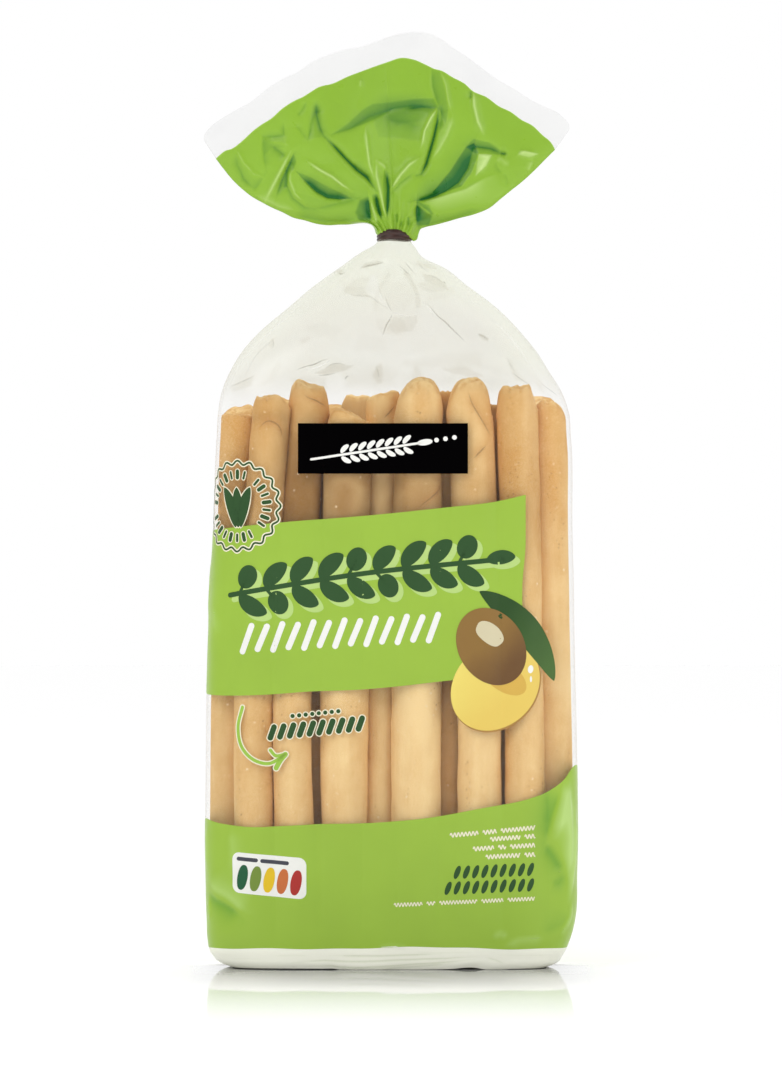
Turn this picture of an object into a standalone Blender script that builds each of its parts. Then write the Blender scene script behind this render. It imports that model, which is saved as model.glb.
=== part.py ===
"""A bag of grissini, standing on its base.

A clear film bag stands round three rows of thick breadsticks. A tie gathers its neck, and
above the tie the film flares into a pleated fan. The bag with what it holds is one solid,
and the tie is another.

Metres, +Z up. The printed front faces -Y, and the origin is the middle of the base.
"""

import bmesh
import bpy
import numpy as np

MM = 0.001

# The pack's driving sizes.
BODY_HALF_WIDTH = 60.0 * MM
BODY_HALF_DEPTH = 24.0 * MM
NECK_HEIGHT = 236.0 * MM
NECK_OFFSET = 1.2 * MM
NECK_HALF_WIDTH = 5.6 * MM
NECK_HALF_DEPTH = 4.8 * MM
FAN_TOP = 302.5 * MM

# The outline of the bag below the tie. Each row is a height, the left and right side as
# shares of BODY_HALF_WIDTH, and the depth as a share of BODY_HALF_DEPTH.
BODY_OUTLINE = (
    (0.0, -0.850, 0.835, 0.86),
    (1.2, -0.905, 0.885, 0.91),
    (4.0, -0.955, 0.922, 0.95),
    (12.0, -0.985, 0.965, 0.98),
    (30.0, -1.000, 1.000, 1.00),
    (60.0, -1.000, 1.005, 1.02),
    (100.0, -0.990, 0.992, 1.03),
    (145.0, -0.957, 0.978, 1.02),
    (172.0, -0.942, 0.970, 1.00),
    (183.0, -0.925, 0.945, 0.98),
    (193.0, -0.862, 0.850, 0.93),
    (203.0, -0.745, 0.735, 0.84),
    (212.0, -0.572, 0.575, 0.70),
    (222.0, -0.372, 0.372, 0.48),
)
BODY_RINGS = 34
# A rounded rectangle in the body, which turns into an ellipse in the shoulder.
BODY_SQUARENESS = 4.6
NECK_SQUARENESS = 2.0
SHOULDER_START = 180.0 * MM
SHOULDER_END = 228.0 * MM

# The film lies on the outer sticks and dips a little between them.
STICK_RADIUS = 7.25 * MM
FRONT_STICKS = tuple(x * MM for x in (-52, -41, -28, -14.5, -1.5, 8.5, 26.5, 41.5, 52.5))
BACK_STICKS = tuple(x * MM for x in (-50, -36, -21.5, -7, 7.5, 22, 36.5, 51))
STICK_TOP = 186.0 * MM
RIB_DEPTH = 0.9 * MM

# Pleats that gather the film into the neck.
NECK_PLEATS = 15
NECK_PLEAT_DEPTH = 0.9 * MM
PLEATS_START = 192.0 * MM

# The fan above the tie. Its corners and its highest point are (x, z).
FAN_LEFT = (-60.2 * MM, 268.0 * MM)
FAN_PEAK = (8.0 * MM, FAN_TOP + 1.6 * MM)
FAN_RIGHT = (57.4 * MM, 271.5 * MM)
FAN_LEFT_PULL = (-47.0 * MM, 238.0 * MM)
FAN_RIGHT_PULL = (37.0 * MM, 240.0 * MM)
FAN_EDGE_BULGE = 4.6 * MM
FAN_PEAK_PLACE = 0.12
FAN_PEAK_DROP = 1.6 * MM
FAN_PEAK_ROUND = 0.10
FAN_RINGS = 12
# Each set of pleats is its number of waves, its phase and its depth.
FAN_PLEATS = ((3.1, 0.4, 3.0 * MM), (7.9, 1.9, 2.4 * MM), (13.0, 0.7, 1.3 * MM))
FAN_MOUTH = 6.0 * MM
FAN_BELLY = 2.4 * MM

TIE_HEIGHT = 3.9 * MM
TIE_THICKNESS = 0.8 * MM
TIE_GAP = 0.3 * MM
TIE_LAP = 0.7 * MM
TIE_ROUND = 0.25 * MM
TIE_SEGMENTS = 40
LAP_START = 60.0
LAP_END = 125.0

RING_POINTS = 84


def ease(value, start, end):
    """0 below start, 1 above end and smooth between them."""
    share = np.clip((value - start) / (end - start), 0.0, 1.0)
    return share * share * (3.0 - 2.0 * share)


def through(knots, values, at):
    """A smooth curve through values at knots, read at a height."""
    slopes = np.gradient(values, knots)
    i = int(np.clip(np.searchsorted(knots, at) - 1, 0, len(knots) - 2))
    step = knots[i + 1] - knots[i]
    t = (at - knots[i]) / step
    return (
        values[i] * (1 + 2 * t) * (1 - t) ** 2
        + slopes[i] * step * t * (1 - t) ** 2
        + values[i + 1] * t * t * (3 - 2 * t)
        + slopes[i + 1] * step * t * t * (t - 1)
    )


def body_outline():
    """Heights, left sides, right sides and half depths from the base up to the neck."""
    rows = np.array(BODY_OUTLINE)
    left = np.append(rows[:, 1] * BODY_HALF_WIDTH, NECK_OFFSET - NECK_HALF_WIDTH)
    right = np.append(rows[:, 2] * BODY_HALF_WIDTH, NECK_OFFSET + NECK_HALF_WIDTH)
    depth = np.append(rows[:, 3] * BODY_HALF_DEPTH, NECK_HALF_DEPTH)
    heights = np.append(rows[:, 0] * MM, NECK_HEIGHT - TIE_HEIGHT / 2)
    return heights, left, right, depth


def even_ring(half_width, half_depth, squareness):
    """Points at even steps round a superellipse, from the left side along the front."""
    angle = np.linspace(np.pi, 3 * np.pi, 1441)
    cos, sin = np.cos(angle), np.sin(angle)
    x = half_width * np.sign(cos) * np.abs(cos) ** (2 / squareness)
    y = half_depth * np.sign(sin) * np.abs(sin) ** (2 / squareness)
    along = np.append(0.0, np.cumsum(np.hypot(np.diff(x), np.diff(y))))
    steps = np.arange(RING_POINTS) / RING_POINTS * along[-1]
    return np.interp(steps, along, x), np.interp(steps, along, y)


def ribs(x, sticks):
    """How far the film dips at x, between the sticks that it lies on."""
    nearest = np.abs(x[:, None] - np.array(sticks)).min(axis=1)
    return RIB_DEPTH * np.minimum(nearest / STICK_RADIUS, 1.0) ** 2


def body_ring(height):
    """One level ring of the bag below the tie."""
    heights, left, right, depth = body_outline()
    low, high = through(heights, left, height), through(heights, right, height)
    half_depth = through(heights, depth, height)
    square = BODY_SQUARENESS + (NECK_SQUARENESS - BODY_SQUARENESS) * ease(
        height, SHOULDER_START, SHOULDER_END
    )
    x, y = even_ring((high - low) / 2, half_depth, square)
    x = x + (high + low) / 2
    dip = np.where(y < 0, ribs(x, FRONT_STICKS), ribs(x, BACK_STICKS))
    on_sticks = ease(height, 4 * MM, 20 * MM) * (1 - ease(height, STICK_TOP - 12 * MM, STICK_TOP))
    y = y * (1 - on_sticks * dip / half_depth)
    gather = ease(height, PLEATS_START, NECK_HEIGHT)
    wave = np.cos(NECK_PLEATS * 2 * np.pi * np.arange(RING_POINTS) / RING_POINTS)
    grow = 1 + gather * (NECK_PLEAT_DEPTH * wave / half_depth) * (1 - 0.6 * gather)
    middle = (high + low) / 2
    return np.stack([middle + (x - middle) * grow, y * grow, np.full(RING_POINTS, height)], axis=1)


def across():
    """Each ring point's place across the bag: -1 at the left side, 1 at the right, and its face:
    -1 in front, 1 at the back."""
    step = 4.0 * np.arange(RING_POINTS) / RING_POINTS
    front = step <= 2.0
    return np.where(front, step - 1.0, 3.0 - step), np.where(front, -1.0, 1.0)


def fan_edge(u):
    """The fan's free edge at place u: two nearly straight flanks that meet in a round peak."""
    left, peak, right = np.array(FAN_LEFT), np.array(FAN_PEAK), np.array(FAN_RIGHT)
    on_left = u < FAN_PEAK_PLACE
    share = np.abs(u - FAN_PEAK_PLACE) / np.where(on_left, 1 + FAN_PEAK_PLACE, 1 - FAN_PEAK_PLACE)
    side = np.where(on_left[:, None], left, right)
    edge = peak + (side - peak) * share[:, None]
    bulge = FAN_EDGE_BULGE * np.sin(np.pi * share) * np.where(on_left, 1.0, 0.2)
    drop = FAN_PEAK_DROP * np.exp(-((share / FAN_PEAK_ROUND) ** 2))
    edge[:, 1] += bulge - drop
    return edge


def fan_ring(v):
    """One ring of the fan, v of the way from the tie to the free edge."""
    u, face = across()
    top = NECK_HEIGHT + TIE_HEIGHT / 2 + TIE_GAP
    start = np.stack([NECK_OFFSET + NECK_HALF_WIDTH * u, np.full(RING_POINTS, top)], axis=1)
    end = fan_edge(u)
    pull = np.where(u[:, None] < 0, np.array(FAN_LEFT_PULL), np.array(FAN_RIGHT_PULL))
    pull = start * 0.5 + end * 0.5 + (pull - (start + end) / 2) * (np.abs(u) ** 3)[:, None]
    flat = start * (1 - v) ** 2 + pull * 2 * v * (1 - v) + end * v * v
    lens = np.sqrt(np.maximum(1 - u * u, 0.0))
    half = (
        NECK_HALF_DEPTH * (1 - ease(v, 0.0, 0.8))
        + FAN_MOUTH / 2 * ease(v, 0.0, 0.6)
        + FAN_BELLY * np.sin(np.pi * v)
    ) * lens
    pleat = sum(deep * np.sin(waves * u + phase) for waves, phase, deep in FAN_PLEATS)
    shift = pleat * ease(v, 0.05, 0.5) * (1 - 0.5 * np.abs(u))
    return np.stack([flat[:, 0], face * half + shift, flat[:, 1]], axis=1)


def skin_rings(mesh, rings):
    """A wall through the rings, each with the same number of points. Returns their vertices."""
    rows = [[mesh.verts.new(point) for point in ring] for ring in rings]
    for lower, upper in zip(rows, rows[1:]):
        for i in range(len(lower)):
            j = (i + 1) % len(lower)
            mesh.faces.new((lower[i], lower[j], upper[j], upper[i]))
    return rows


def close_edge(mesh, row):
    """Closes the fan's free edge by joining each front point to the back point behind it."""
    half = len(row) // 2
    for i in range(half):
        corners = [row[i], row[i + 1], row[-i - 1], row[-i]]
        mesh.faces.new(list(dict.fromkeys(corners)))


def new_object(name, mesh_data, material, smooth_angle=60.0):
    """Puts a finished bmesh in the scene as one named object."""
    bmesh.ops.recalc_face_normals(mesh_data, faces=mesh_data.faces)
    mesh = bpy.data.meshes.new(name)
    mesh_data.to_mesh(mesh)
    mesh_data.free()
    mesh.shade_smooth()
    mesh.set_sharp_from_angle(angle=np.radians(smooth_angle))
    mesh.materials.append(material)
    made = bpy.data.objects.new(name, mesh)
    bpy.context.scene.collection.objects.link(made)
    return made


def new_material(name, colour, roughness, metallic=0.0):
    material = bpy.data.materials.new(name)
    material.use_nodes = True
    surface = material.node_tree.nodes["Principled BSDF"]
    surface.inputs["Base Color"].default_value = (*colour, 1.0)
    surface.inputs["Roughness"].default_value = roughness
    surface.inputs["Metallic"].default_value = metallic
    return material


def make_bag():
    """The filled bag: body, shoulder, neck and fan in one closed skin."""
    neck_low = NECK_HEIGHT - TIE_HEIGHT / 2 - TIE_GAP
    foot = [z * MM for z in (0.0, 1.2, 4.0)]
    body = [body_ring(z) for z in foot + list(np.linspace(9 * MM, neck_low, BODY_RINGS))]
    fan = [fan_ring(v) for v in np.linspace(0.0, 1.0, FAN_RINGS + 1) ** 1.3]
    waist = fan[0].copy()
    waist[:, 2] = neck_low
    mesh = bmesh.new()
    rows = skin_rings(mesh, body[:-1] + [waist] + fan)
    mesh.faces.new(list(reversed(rows[0])))
    close_edge(mesh, rows[-1])
    return new_object("bag", mesh, new_material("clear_film", (0.86, 0.87, 0.82), 0.22))


def make_tie():
    """A band wound round the neck, with its free end lapped over it at the back."""
    inner = TIE_GAP + np.array([NECK_HALF_WIDTH, NECK_HALF_DEPTH])
    low, high = NECK_HEIGHT - TIE_HEIGHT / 2, NECK_HEIGHT + TIE_HEIGHT / 2
    mesh = bmesh.new()
    sections = []
    for degrees in np.arange(TIE_SEGMENTS) * 360.0 / TIE_SEGMENTS:
        turn = np.radians(degrees)
        lap = ease(degrees, LAP_START, LAP_START + 9.0) * (1 - ease(degrees, LAP_END, LAP_END + 9.0))
        outer = inner + TIE_THICKNESS + TIE_LAP * lap
        way = np.array([np.cos(turn), np.sin(turn)])
        middle = np.array([NECK_OFFSET, 0.0])
        near, far = middle + inner * way, middle + outer * way
        sections.append([(*near, low), (*far, low), (*far, high), (*near, high)])
    rows = skin_rings(mesh, sections)
    for i in range(4):
        j = (i + 1) % 4
        mesh.faces.new((rows[-1][i], rows[-1][j], rows[0][j], rows[0][i]))
    tie = new_object("tie", mesh, new_material("brown_band", (0.045, 0.022, 0.012), 0.35))
    soften = tie.modifiers.new("soft_edges", "BEVEL")
    soften.width = TIE_ROUND
    soften.segments = 2
    soften.angle_limit = np.radians(50)
    return tie


def main():
    for old in list(bpy.data.objects):
        bpy.data.objects.remove(old)
    make_bag()
    make_tie()


main()
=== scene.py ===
"""The looks of a bag of breadsticks: clear film with printed bands, a tied neck with a fan of
film above it, and the baked sticks that stand inside.

Lengths are metres. Tables and driving sizes are in millimetres where their comment says so.
The printed front faces -Y.
"""

import bpy
import numpy as np
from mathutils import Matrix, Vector


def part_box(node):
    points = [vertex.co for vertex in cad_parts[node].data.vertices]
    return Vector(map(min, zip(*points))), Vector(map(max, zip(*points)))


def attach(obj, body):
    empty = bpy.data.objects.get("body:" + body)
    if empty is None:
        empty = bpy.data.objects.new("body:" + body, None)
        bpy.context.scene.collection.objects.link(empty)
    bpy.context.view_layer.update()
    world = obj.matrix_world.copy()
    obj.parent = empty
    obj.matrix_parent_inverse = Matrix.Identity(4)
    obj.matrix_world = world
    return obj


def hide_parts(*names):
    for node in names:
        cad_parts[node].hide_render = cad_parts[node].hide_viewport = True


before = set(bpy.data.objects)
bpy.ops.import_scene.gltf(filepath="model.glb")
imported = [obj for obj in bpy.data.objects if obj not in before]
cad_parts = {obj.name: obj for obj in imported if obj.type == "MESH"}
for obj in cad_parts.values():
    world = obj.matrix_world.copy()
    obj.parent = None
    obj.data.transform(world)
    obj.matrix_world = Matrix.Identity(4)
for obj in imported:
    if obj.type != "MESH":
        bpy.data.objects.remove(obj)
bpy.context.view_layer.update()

MM = 0.001
BAG_LOW, BAG_HIGH = (np.array(corner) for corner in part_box("bag"))
TIE_LOW, TIE_HIGH = (np.array(corner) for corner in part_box("tie"))
TIE_MIDDLE = (TIE_LOW + TIE_HIGH) / 2


# ---------------------------------------------------------------- curves and noise


def ease(value, start, end):
    """0 below start, 1 above end and smooth between them."""
    share = np.clip((value - start) / (end - start), 0.0, 1.0)
    return share * share * (3.0 - 2.0 * share)


def curve(knots, at):
    """A smooth curve through (place, value) knots, read at many places. It is level past its ends."""
    places, values = np.array(knots, float).T
    slopes = np.gradient(values, places)
    i = np.clip(np.searchsorted(places, at) - 1, 0, len(places) - 2)
    step = places[i + 1] - places[i]
    t = np.clip((at - places[i]) / step, 0.0, 1.0)
    low = values[i] * (1 + 2 * t) * (1 - t) ** 2 + slopes[i] * step * t * (1 - t) ** 2
    high = values[i + 1] * t * t * (3 - 2 * t) + slopes[i + 1] * step * t * t * (t - 1)
    return low + high


def smooth_line(points, count):
    """Even steps along a smooth line through a few points."""
    points = np.array(points, float)
    along = np.append(0.0, np.cumsum(np.linalg.norm(np.diff(points, axis=0), axis=1)))
    at = np.linspace(0.0, along[-1], count)
    if len(points) == 2:
        return points[0] + (points[1] - points[0]) * (at / along[-1])[:, None]
    return np.stack([curve(np.stack([along, axis], axis=1), at) for axis in points.T], axis=1)


def lattice(cell, seed):
    """A fixed random number from -1 to 1 for each whole-numbered cell."""
    primes = np.array([73856093, 19349663, 83492791])[: cell.shape[-1]]
    mixed = (cell * primes).sum(axis=-1) + seed * 2654435761
    mixed = (mixed ^ (mixed >> 15)) * 2246822519 & 0xFFFFFFFF
    mixed = (mixed ^ (mixed >> 13)) * 3266489917 & 0xFFFFFFFF
    return (mixed >> 8 & 0xFFFF) / 32767.5 - 1.0


def noise(points, seed):
    """Smooth noise from -1 to 1, in which one bump is about one unit long."""
    cell = np.floor(points).astype(np.int64)
    share = points - cell
    share = share * share * (3 - 2 * share)
    total = np.zeros(points.shape[:-1])
    for corner in np.ndindex((2,) * points.shape[-1]):
        weight = np.where(corner, share, 1 - share).prod(axis=-1)
        total += lattice(cell + np.array(corner), seed) * weight
    return total


def dents(points, seed):
    """Round dents with sharp ridges between them, 0 to about 1, one unit apart."""
    cell = np.floor(points).astype(np.int64)
    nearest = np.full(points.shape[:-1], 9.0)
    for step in np.ndindex((3,) * points.shape[-1]):
        other = cell + np.array(step) - 1
        jitter = [lattice(other, seed + 7 * axis) for axis in range(points.shape[-1])]
        middle = other + 0.5 + 0.45 * np.stack(jitter, axis=-1)
        nearest = np.minimum(nearest, ((points - middle) ** 2).sum(axis=-1))
    return np.minimum(nearest, 1.0)


def crease(x, z, line, height, left_width, right_width, soft=0.35):
    """A crease along a line of (x, z) points: height on the line, and falling off over its own
    width on either side of the line as it runs. It fades at both ends. All in one unit."""
    best = np.full(x.shape, 1e9)
    side = np.zeros(x.shape)
    place = np.zeros(x.shape)
    points = np.array(line, float)
    lengths = np.linalg.norm(np.diff(points, axis=0), axis=1)
    starts = np.append(0.0, np.cumsum(lengths))
    for i, length in enumerate(lengths):
        way = (points[i + 1] - points[i]) / length
        dx, dz = x - points[i][0], z - points[i][1]
        along = np.clip(dx * way[0] + dz * way[1], 0.0, length)
        gap = np.hypot(dx - along * way[0], dz - along * way[1])
        closer = gap < best
        best = np.where(closer, gap, best)
        side = np.where(closer, way[0] * dz - way[1] * dx, side)
        place = np.where(closer, starts[i] + along, place)
    width = np.where(side > 0, left_width, right_width)
    round_gap = np.sqrt(best**2 + soft**2) - soft
    share = place / starts[-1]
    ends = 0.25 + 0.75 * ease(share, 0.0, 0.25) * (1 - ease(share, 0.75, 1.0))
    return height * np.exp(-round_gap / width) * ends


def facet(x, z, corners, depth, soft=0.3):
    """A patch of an even depth inside its (x, z) corners, with a crisp edge. All in one unit."""
    points = np.array(corners, float)
    inside = np.zeros(x.shape, bool)
    nearest = np.full(x.shape, 1e9)
    for start, end in zip(points, np.roll(points, -1, axis=0)):
        way = end - start
        dx, dz = x - start[0], z - start[1]
        along = np.clip((dx * way[0] + dz * way[1]) / (way @ way), 0.0, 1.0)
        nearest = np.minimum(nearest, np.hypot(dx - along * way[0], dz - along * way[1]))
        rise = way[1] if way[1] else 1e-9
        inside ^= ((start[1] > z) != (end[1] > z)) & (x < start[0] + dz * way[0] / rise)
    return depth * ease(np.where(inside, nearest, -nearest), -soft, soft)


# ---------------------------------------------------------------- meshes


def grid_faces(rows, columns, closed):
    """Quads over a grid of points, numbered row by row. A closed grid joins its last column to
    its first."""
    across = columns if closed else columns - 1
    r, c = np.meshgrid(np.arange(rows - 1), np.arange(across), indexing="ij")
    right = (c + 1) % columns
    corners = [r * columns + c, r * columns + right, (r + 1) * columns + right, (r + 1) * columns + c]
    return np.stack(corners, axis=-1).reshape(-1, 4)


def new_piece(name, points, faces, material, node="bag", values=None):
    """A named piece of the object from points and quads, riding on the bag's body. values are
    numbers for each point that its material reads by name."""
    mesh = bpy.data.meshes.new(name)
    mesh.from_pydata(points.reshape(-1, 3).tolist(), [], faces.tolist())
    for key, numbers in (values or {}).items():
        attribute = mesh.attributes.new(key, "FLOAT", "POINT")
        attribute.data.foreach_set("value", np.ascontiguousarray(numbers, np.float32).ravel())
    mesh.validate()
    mesh.shade_smooth()
    mesh.materials.append(material)
    piece = bpy.data.objects.new(name, mesh)
    bpy.context.scene.collection.objects.link(piece)
    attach(piece, "root")
    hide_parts(node)
    return piece


# ---------------------------------------------------------------- the sticks, as sizes

# The sticks: name, then x, y and radius at the foot, middle and top, height of the top, length of
# the tapered tip, share of the radius left where it ends, how far the end slopes to the right
# and to the front, and how brown it is. Millimetres.
STICKS = (
    ("stick_a", (-52.8, -52.1, -49.9), (-1.5, -6.0, -9.4), (6.8, 6.8, 6.5), 179.0, 1.8, 0.92, (0, 0), 0.60),
    ("stick_b", (-43.6, -43.8, -38.2), (-13.6, -15.2, -14.3), (6.5, 6.5, 6.2), 185.0, 2.0, 0.90, (0, 0), 0.44),
    ("stick_c", (-30.0, -31.6, -26.6), (-15.0, -16.2, -9.4), (6.7, 6.4, 7.0), 190.0, 3.0, 0.80, (0, 0), 0.44),
    ("stick_d", (-15.1, -15.0, -13.8), (-14.5, -15.4, -14.6), (6.9, 7.7, 7.5), 180.8, 2.4, 0.88, (0, 0), 0.30),
    ("stick_e", (-12.0, -11.4, -10.7), (6.1, 5.5, 6.0), (6.9, 6.9, 6.6), 185.2, 2.0, 0.90, (0, 0), 0.05),
    ("stick_f", (7.9, 8.2, 8.9), (-14.0, -15.0, -13.8), (7.9, 7.9, 7.9), 191.0, 3.4, 0.74, (0, 0), 0.14),
    ("stick_g", (28.4, 28.2, 25.4), (-14.1, -15.4, -14.0), (6.8, 6.9, 7.5), 190.8, 3.4, 0.76, (0, 0), 0.24),
    ("stick_h", (43.8, 42.6, 40.6), (-13.8, -15.3, -13.8), (6.5, 6.4, 6.8), 188.4, 2.2, 0.88, (0, 0), 0.52),
    ("stick_i", (52.4, 52.0, 51.2), (-3.0, -5.6, -8.6), (6.4, 6.4, 6.0), 183.4, 2.0, 0.86, (0, 0), 0.42),
    ("stick_j", (-3.8, -3.5, -2.5), (-9.4, -9.4, -7.6), (5.2, 5.2, 5.4), 186.2, 2.0, 0.88, (0, 0), 0.18),
    ("stick_k", (18.3, 18.2, 17.0), (-5.6, -5.4, -5.6), (4.8, 4.8, 5.0), 185.4, 3.0, 0.76, (0.0, 0.2), 0.55),
    ("stick_l", (-39.0, -38.5, -39.2), (1.5, 1.5, 0.6), (6.7, 6.7, 6.5), 181.0, 5.0, 0.66, (0.3, 0.1), 0.60),
    ("stick_m", (-25.5, -24.8, -25.4), (-2.2, -2.2, 0.4), (6.7, 6.7, 6.5), 179.5, 6.0, 0.58, (0.2, 0.3), 0.5),
    ("stick_n", (35.4, 35.4, 33.4), (-1.0, -1.0, 0.0), (6.7, 6.7, 6.5), 181.0, 4.0, 0.72, (-0.2, 0.2), 0.5),
    ("stick_o", (51.8, 53.3, 53.4), (9.3, 6.8, 5.0), (5.9, 5.9, 5.7), 178.2, 5.0, 0.70, (0.2, 0.1), 0.40),
    ("stick_p", (-49.9, -50.0, -49.4), (11.8, 12.2, 11.2), (6.6, 6.6, 6.4), 180.6, 5.0, 0.62, (0.2, -0.3), 0.40),
    ("stick_q", (-36.3, -36.0, -35.8), (14.9, 15.0, 14.2), (6.7, 6.8, 6.5), 184.0, 7.0, 0.55, (-0.3, -0.2), 0.30),
    ("stick_r", (-22.8, -22.3, -21.3), (15.3, 15.4, 14.6), (6.7, 6.6, 6.8), 180.0, 4.0, 0.78, (0.3, -0.4), 0.45),
    ("stick_s", (-2.1, -3.7, -2.4), (15.4, 15.6, 14.8), (6.7, 6.8, 6.4), 183.0, 8.0, 0.50, (-0.1, -0.3), 0.25),
    ("stick_t", (6.1, 6.6, 8.6), (4.2, 6.8, 8.0), (6.6, 6.6, 6.4), 181.5, 5.0, 0.70, (0.2, 0.1), 0.50),
    ("stick_u", (13.4, 17.0, 21.4), (15.4, 15.4, 14.6), (6.7, 6.9, 6.5), 185.5, 6.0, 0.60, (0.4, -0.2), 0.35),
    ("stick_v", (26.9, 30.6, 35.4), (15.3, 15.4, 14.2), (6.7, 6.5, 6.7), 179.0, 5.0, 0.72, (-0.4, -0.3), 0.45),
    ("stick_w", (40.3, 44.2, 48.4), (14.5, 14.4, 11.8), (6.7, 6.7, 6.4), 183.5, 7.0, 0.58, (0.1, -0.4), 0.30),
)
FOOT_HEIGHT = 1.6
FILM_GAP = 0.7
# Diagonal creases in a crust: stick, then height and angle at each end. 270 degrees faces the
# front. A crease may have any number of such points. Millimetres and degrees.
# Each crease is pressed into the crust and darkened along its line with painted shade.
CRUST_CREASES = {
    "stick_b": ((174.6, 238.0, 176.6, 262.0, 175.4, 292.0, 170.5, 318.0),),
    "stick_c": ((187.0, 258.0, 186.0, 285.0, 183.4, 325.0),),
    "stick_f": ((148.6, 272.0, 151.5, 300.0, 156.0, 345.0),),
    "stick_g": ((188.0, 266.0, 183.9, 275.0, 172.0, 325.0), (164.3, 273.0, 168.5, 308.0)),
    "stick_j": ((177.4, 272.0, 181.7, 313.0),),
}
# Painted shade along a shown stick, where it lies in shadow under the print, behind its neighbours and in the
# gaps between them, as (height, share) from none to deepest. Millimetres.
CRUST_PAINTED_SHADE = {
    "stick_a": ((60.0, 0.3), (120.0, 0.3), (142.0, 0.7), (160.0, 0.5), (176.0, 0.1)),
    "stick_b": ((120.0, 0.1), (140.0, 0.55), (158.0, 0.45), (172.0, 0.2), (175.0, 0.25), (178.0, 0.5),
                (182.0, 0.2)),
    "stick_c": ((90.0, 0.05), (120.0, 0.7), (146.0, 1.25), (164.0, 1.1), (176.0, 0.45), (184.0, 0.1)),
    "stick_d": ((70.0, 0.0), (92.0, 0.08), (120.0, 0.7), (146.0, 1.0), (162.0, 0.95), (172.0, 0.4),
                (178.0, 0.05)),
    "stick_f": ((96.0, 0.0), (120.0, 0.4), (146.0, 0.95), (158.0, 0.75), (170.0, 0.3), (178.0, 0.0)),
    "stick_g": ((110.0, 0.0), (146.0, 0.45), (156.0, 0.4), (162.0, 0.15), (174.0, 0.0)),
    "stick_h": ((120.0, 0.0), (150.0, 0.3), (166.0, 0.15), (180.0, 0.1)),
    "stick_j": ((50.0, 0.25), (88.0, 0.3), (148.0, 0.1), (160.0, 0.15), (172.0, 0.1), (180.0, 0.0)),
    "stick_l": ((150.0, 0.3), (172.0, 0.4), (182.0, 0.2)),
    "stick_m": ((150.0, 0.3), (170.0, 0.4), (182.0, 0.3)),
    "stick_n": ((150.0, 0.3), (170.0, 0.4), (182.0, 0.3)),
}
# How much deeper that painted shade is on a stick's right side, where it lies in its neighbour's shadow, than in
# front. 1 leaves the left side unshaded.
CRUST_PAINTED_SHADE_SIDES = {"stick_a": 0.6, "stick_j": 1.0}


# How the shown sticks' ends look from the front: how much lower an end is at its front and back
# than along its middle, and its outline as (x, z). Millimetres.
TIPS = {
    "stick_a": (0.8, ((-56.5, 176.3), (-55.4, 177.4), (-54.4, 178.4), (-52.6, 178.9), (-49.0, 178.7),
                      (-46.4, 178.9), (-45.0, 178.3), (-43.2, 178.0))),
    "stick_b": (0.8, ((-45.5, 179.4), (-44.8, 181.0), (-44.2, 182.4), (-43.5, 183.8), (-42.2, 184.0),
                      (-40.4, 184.6), (-38.0, 184.9), (-36.0, 184.6), (-34.8, 183.7), (-33.6, 182.2),
                      (-32.6, 180.8))),
    "stick_c": (2.0, ((-33.8, 180.0), (-33.2, 182.6), (-32.4, 186.2), (-31.3, 189.0), (-30.0, 190.1),
                      (-28.4, 189.8), (-26.6, 188.9), (-24.6, 188.5), (-22.8, 187.7), (-21.4, 186.9),
                      (-20.6, 184.6), (-20.0, 181.2), (-19.6, 178.0))),
    "stick_d": (1.0, ((-21.3, 172.4), (-20.5, 175.4), (-19.6, 178.4), (-18.4, 180.2), (-17.0, 180.7),
                      (-15.4, 180.5), (-14.2, 180.1), (-12.0, 178.8), (-9.5, 177.4), (-7.4, 176.2),
                      (-6.2, 175.4))),
    "stick_e": (0.8, ((-17.3, 179.0), (-16.4, 181.2), (-15.4, 183.4), (-14.4, 185.1), (-13.2, 185.3),
                      (-11.4, 184.8), (-9.0, 185.2), (-7.0, 184.7), (-5.8, 184.1), (-4.1, 184.2))),
    "stick_j": (0.8, ((-8.0, 183.2), (-6.6, 184.2), (-5.2, 184.9), (-3.8, 185.6), (-2.0, 185.5),
                      (0.0, 186.2), (1.6, 186.3), (3.0, 185.6))),
    "stick_f": (2.4, ((0.9, 178.0), (1.8, 182.2), (3.1, 185.4), (4.9, 188.1), (6.9, 190.0),
                      (9.0, 190.8), (11.4, 190.6), (12.8, 190.2), (13.8, 189.4), (14.7, 188.1),
                      (15.9, 185.9), (16.6, 183.0), (17.1, 179.6))),
    "stick_g": (2.4, ((17.2, 178.2), (18.2, 182.2), (19.4, 185.6), (21.0, 188.4), (22.9, 189.9),
                      (25.0, 190.4), (26.8, 190.5), (27.8, 190.5), (28.8, 190.0), (30.0, 188.9),
                      (31.0, 186.6), (31.9, 183.4), (32.5, 179.0))),
    "stick_h": (1.6, ((33.8, 179.4), (34.5, 184.2), (35.6, 187.1), (37.2, 187.9), (39.0, 187.5),
                      (40.4, 188.2), (41.6, 187.7), (42.8, 187.9), (44.0, 188.1), (44.9, 188.0),
                      (45.4, 186.0), (46.2, 183.6), (47.1, 180.8))),
    "stick_i": (1.6, ((45.1, 179.8), (47.2, 181.9), (48.3, 183.2), (49.2, 183.7), (50.4, 182.7),
                      (51.6, 183.1), (53.0, 182.7), (54.4, 181.5), (55.4, 180.1), (56.2, 178.3),
                      (57.2, 174.2))),
}


def stick_way(foot_middle_top, height):
    """A stick's x or y at some heights, from those at its foot, middle and top. Millimetres."""
    return curve(tuple(zip((0.0, 100.0, 185.0), foot_middle_top)), height)


# ---------------------------------------------------------------- the film below the tie

FILM_FRONT_COLUMNS = 256
FILM_BACK_COLUMNS = 124
FILM_COLUMNS = FILM_FRONT_COLUMNS + FILM_BACK_COLUMNS
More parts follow.
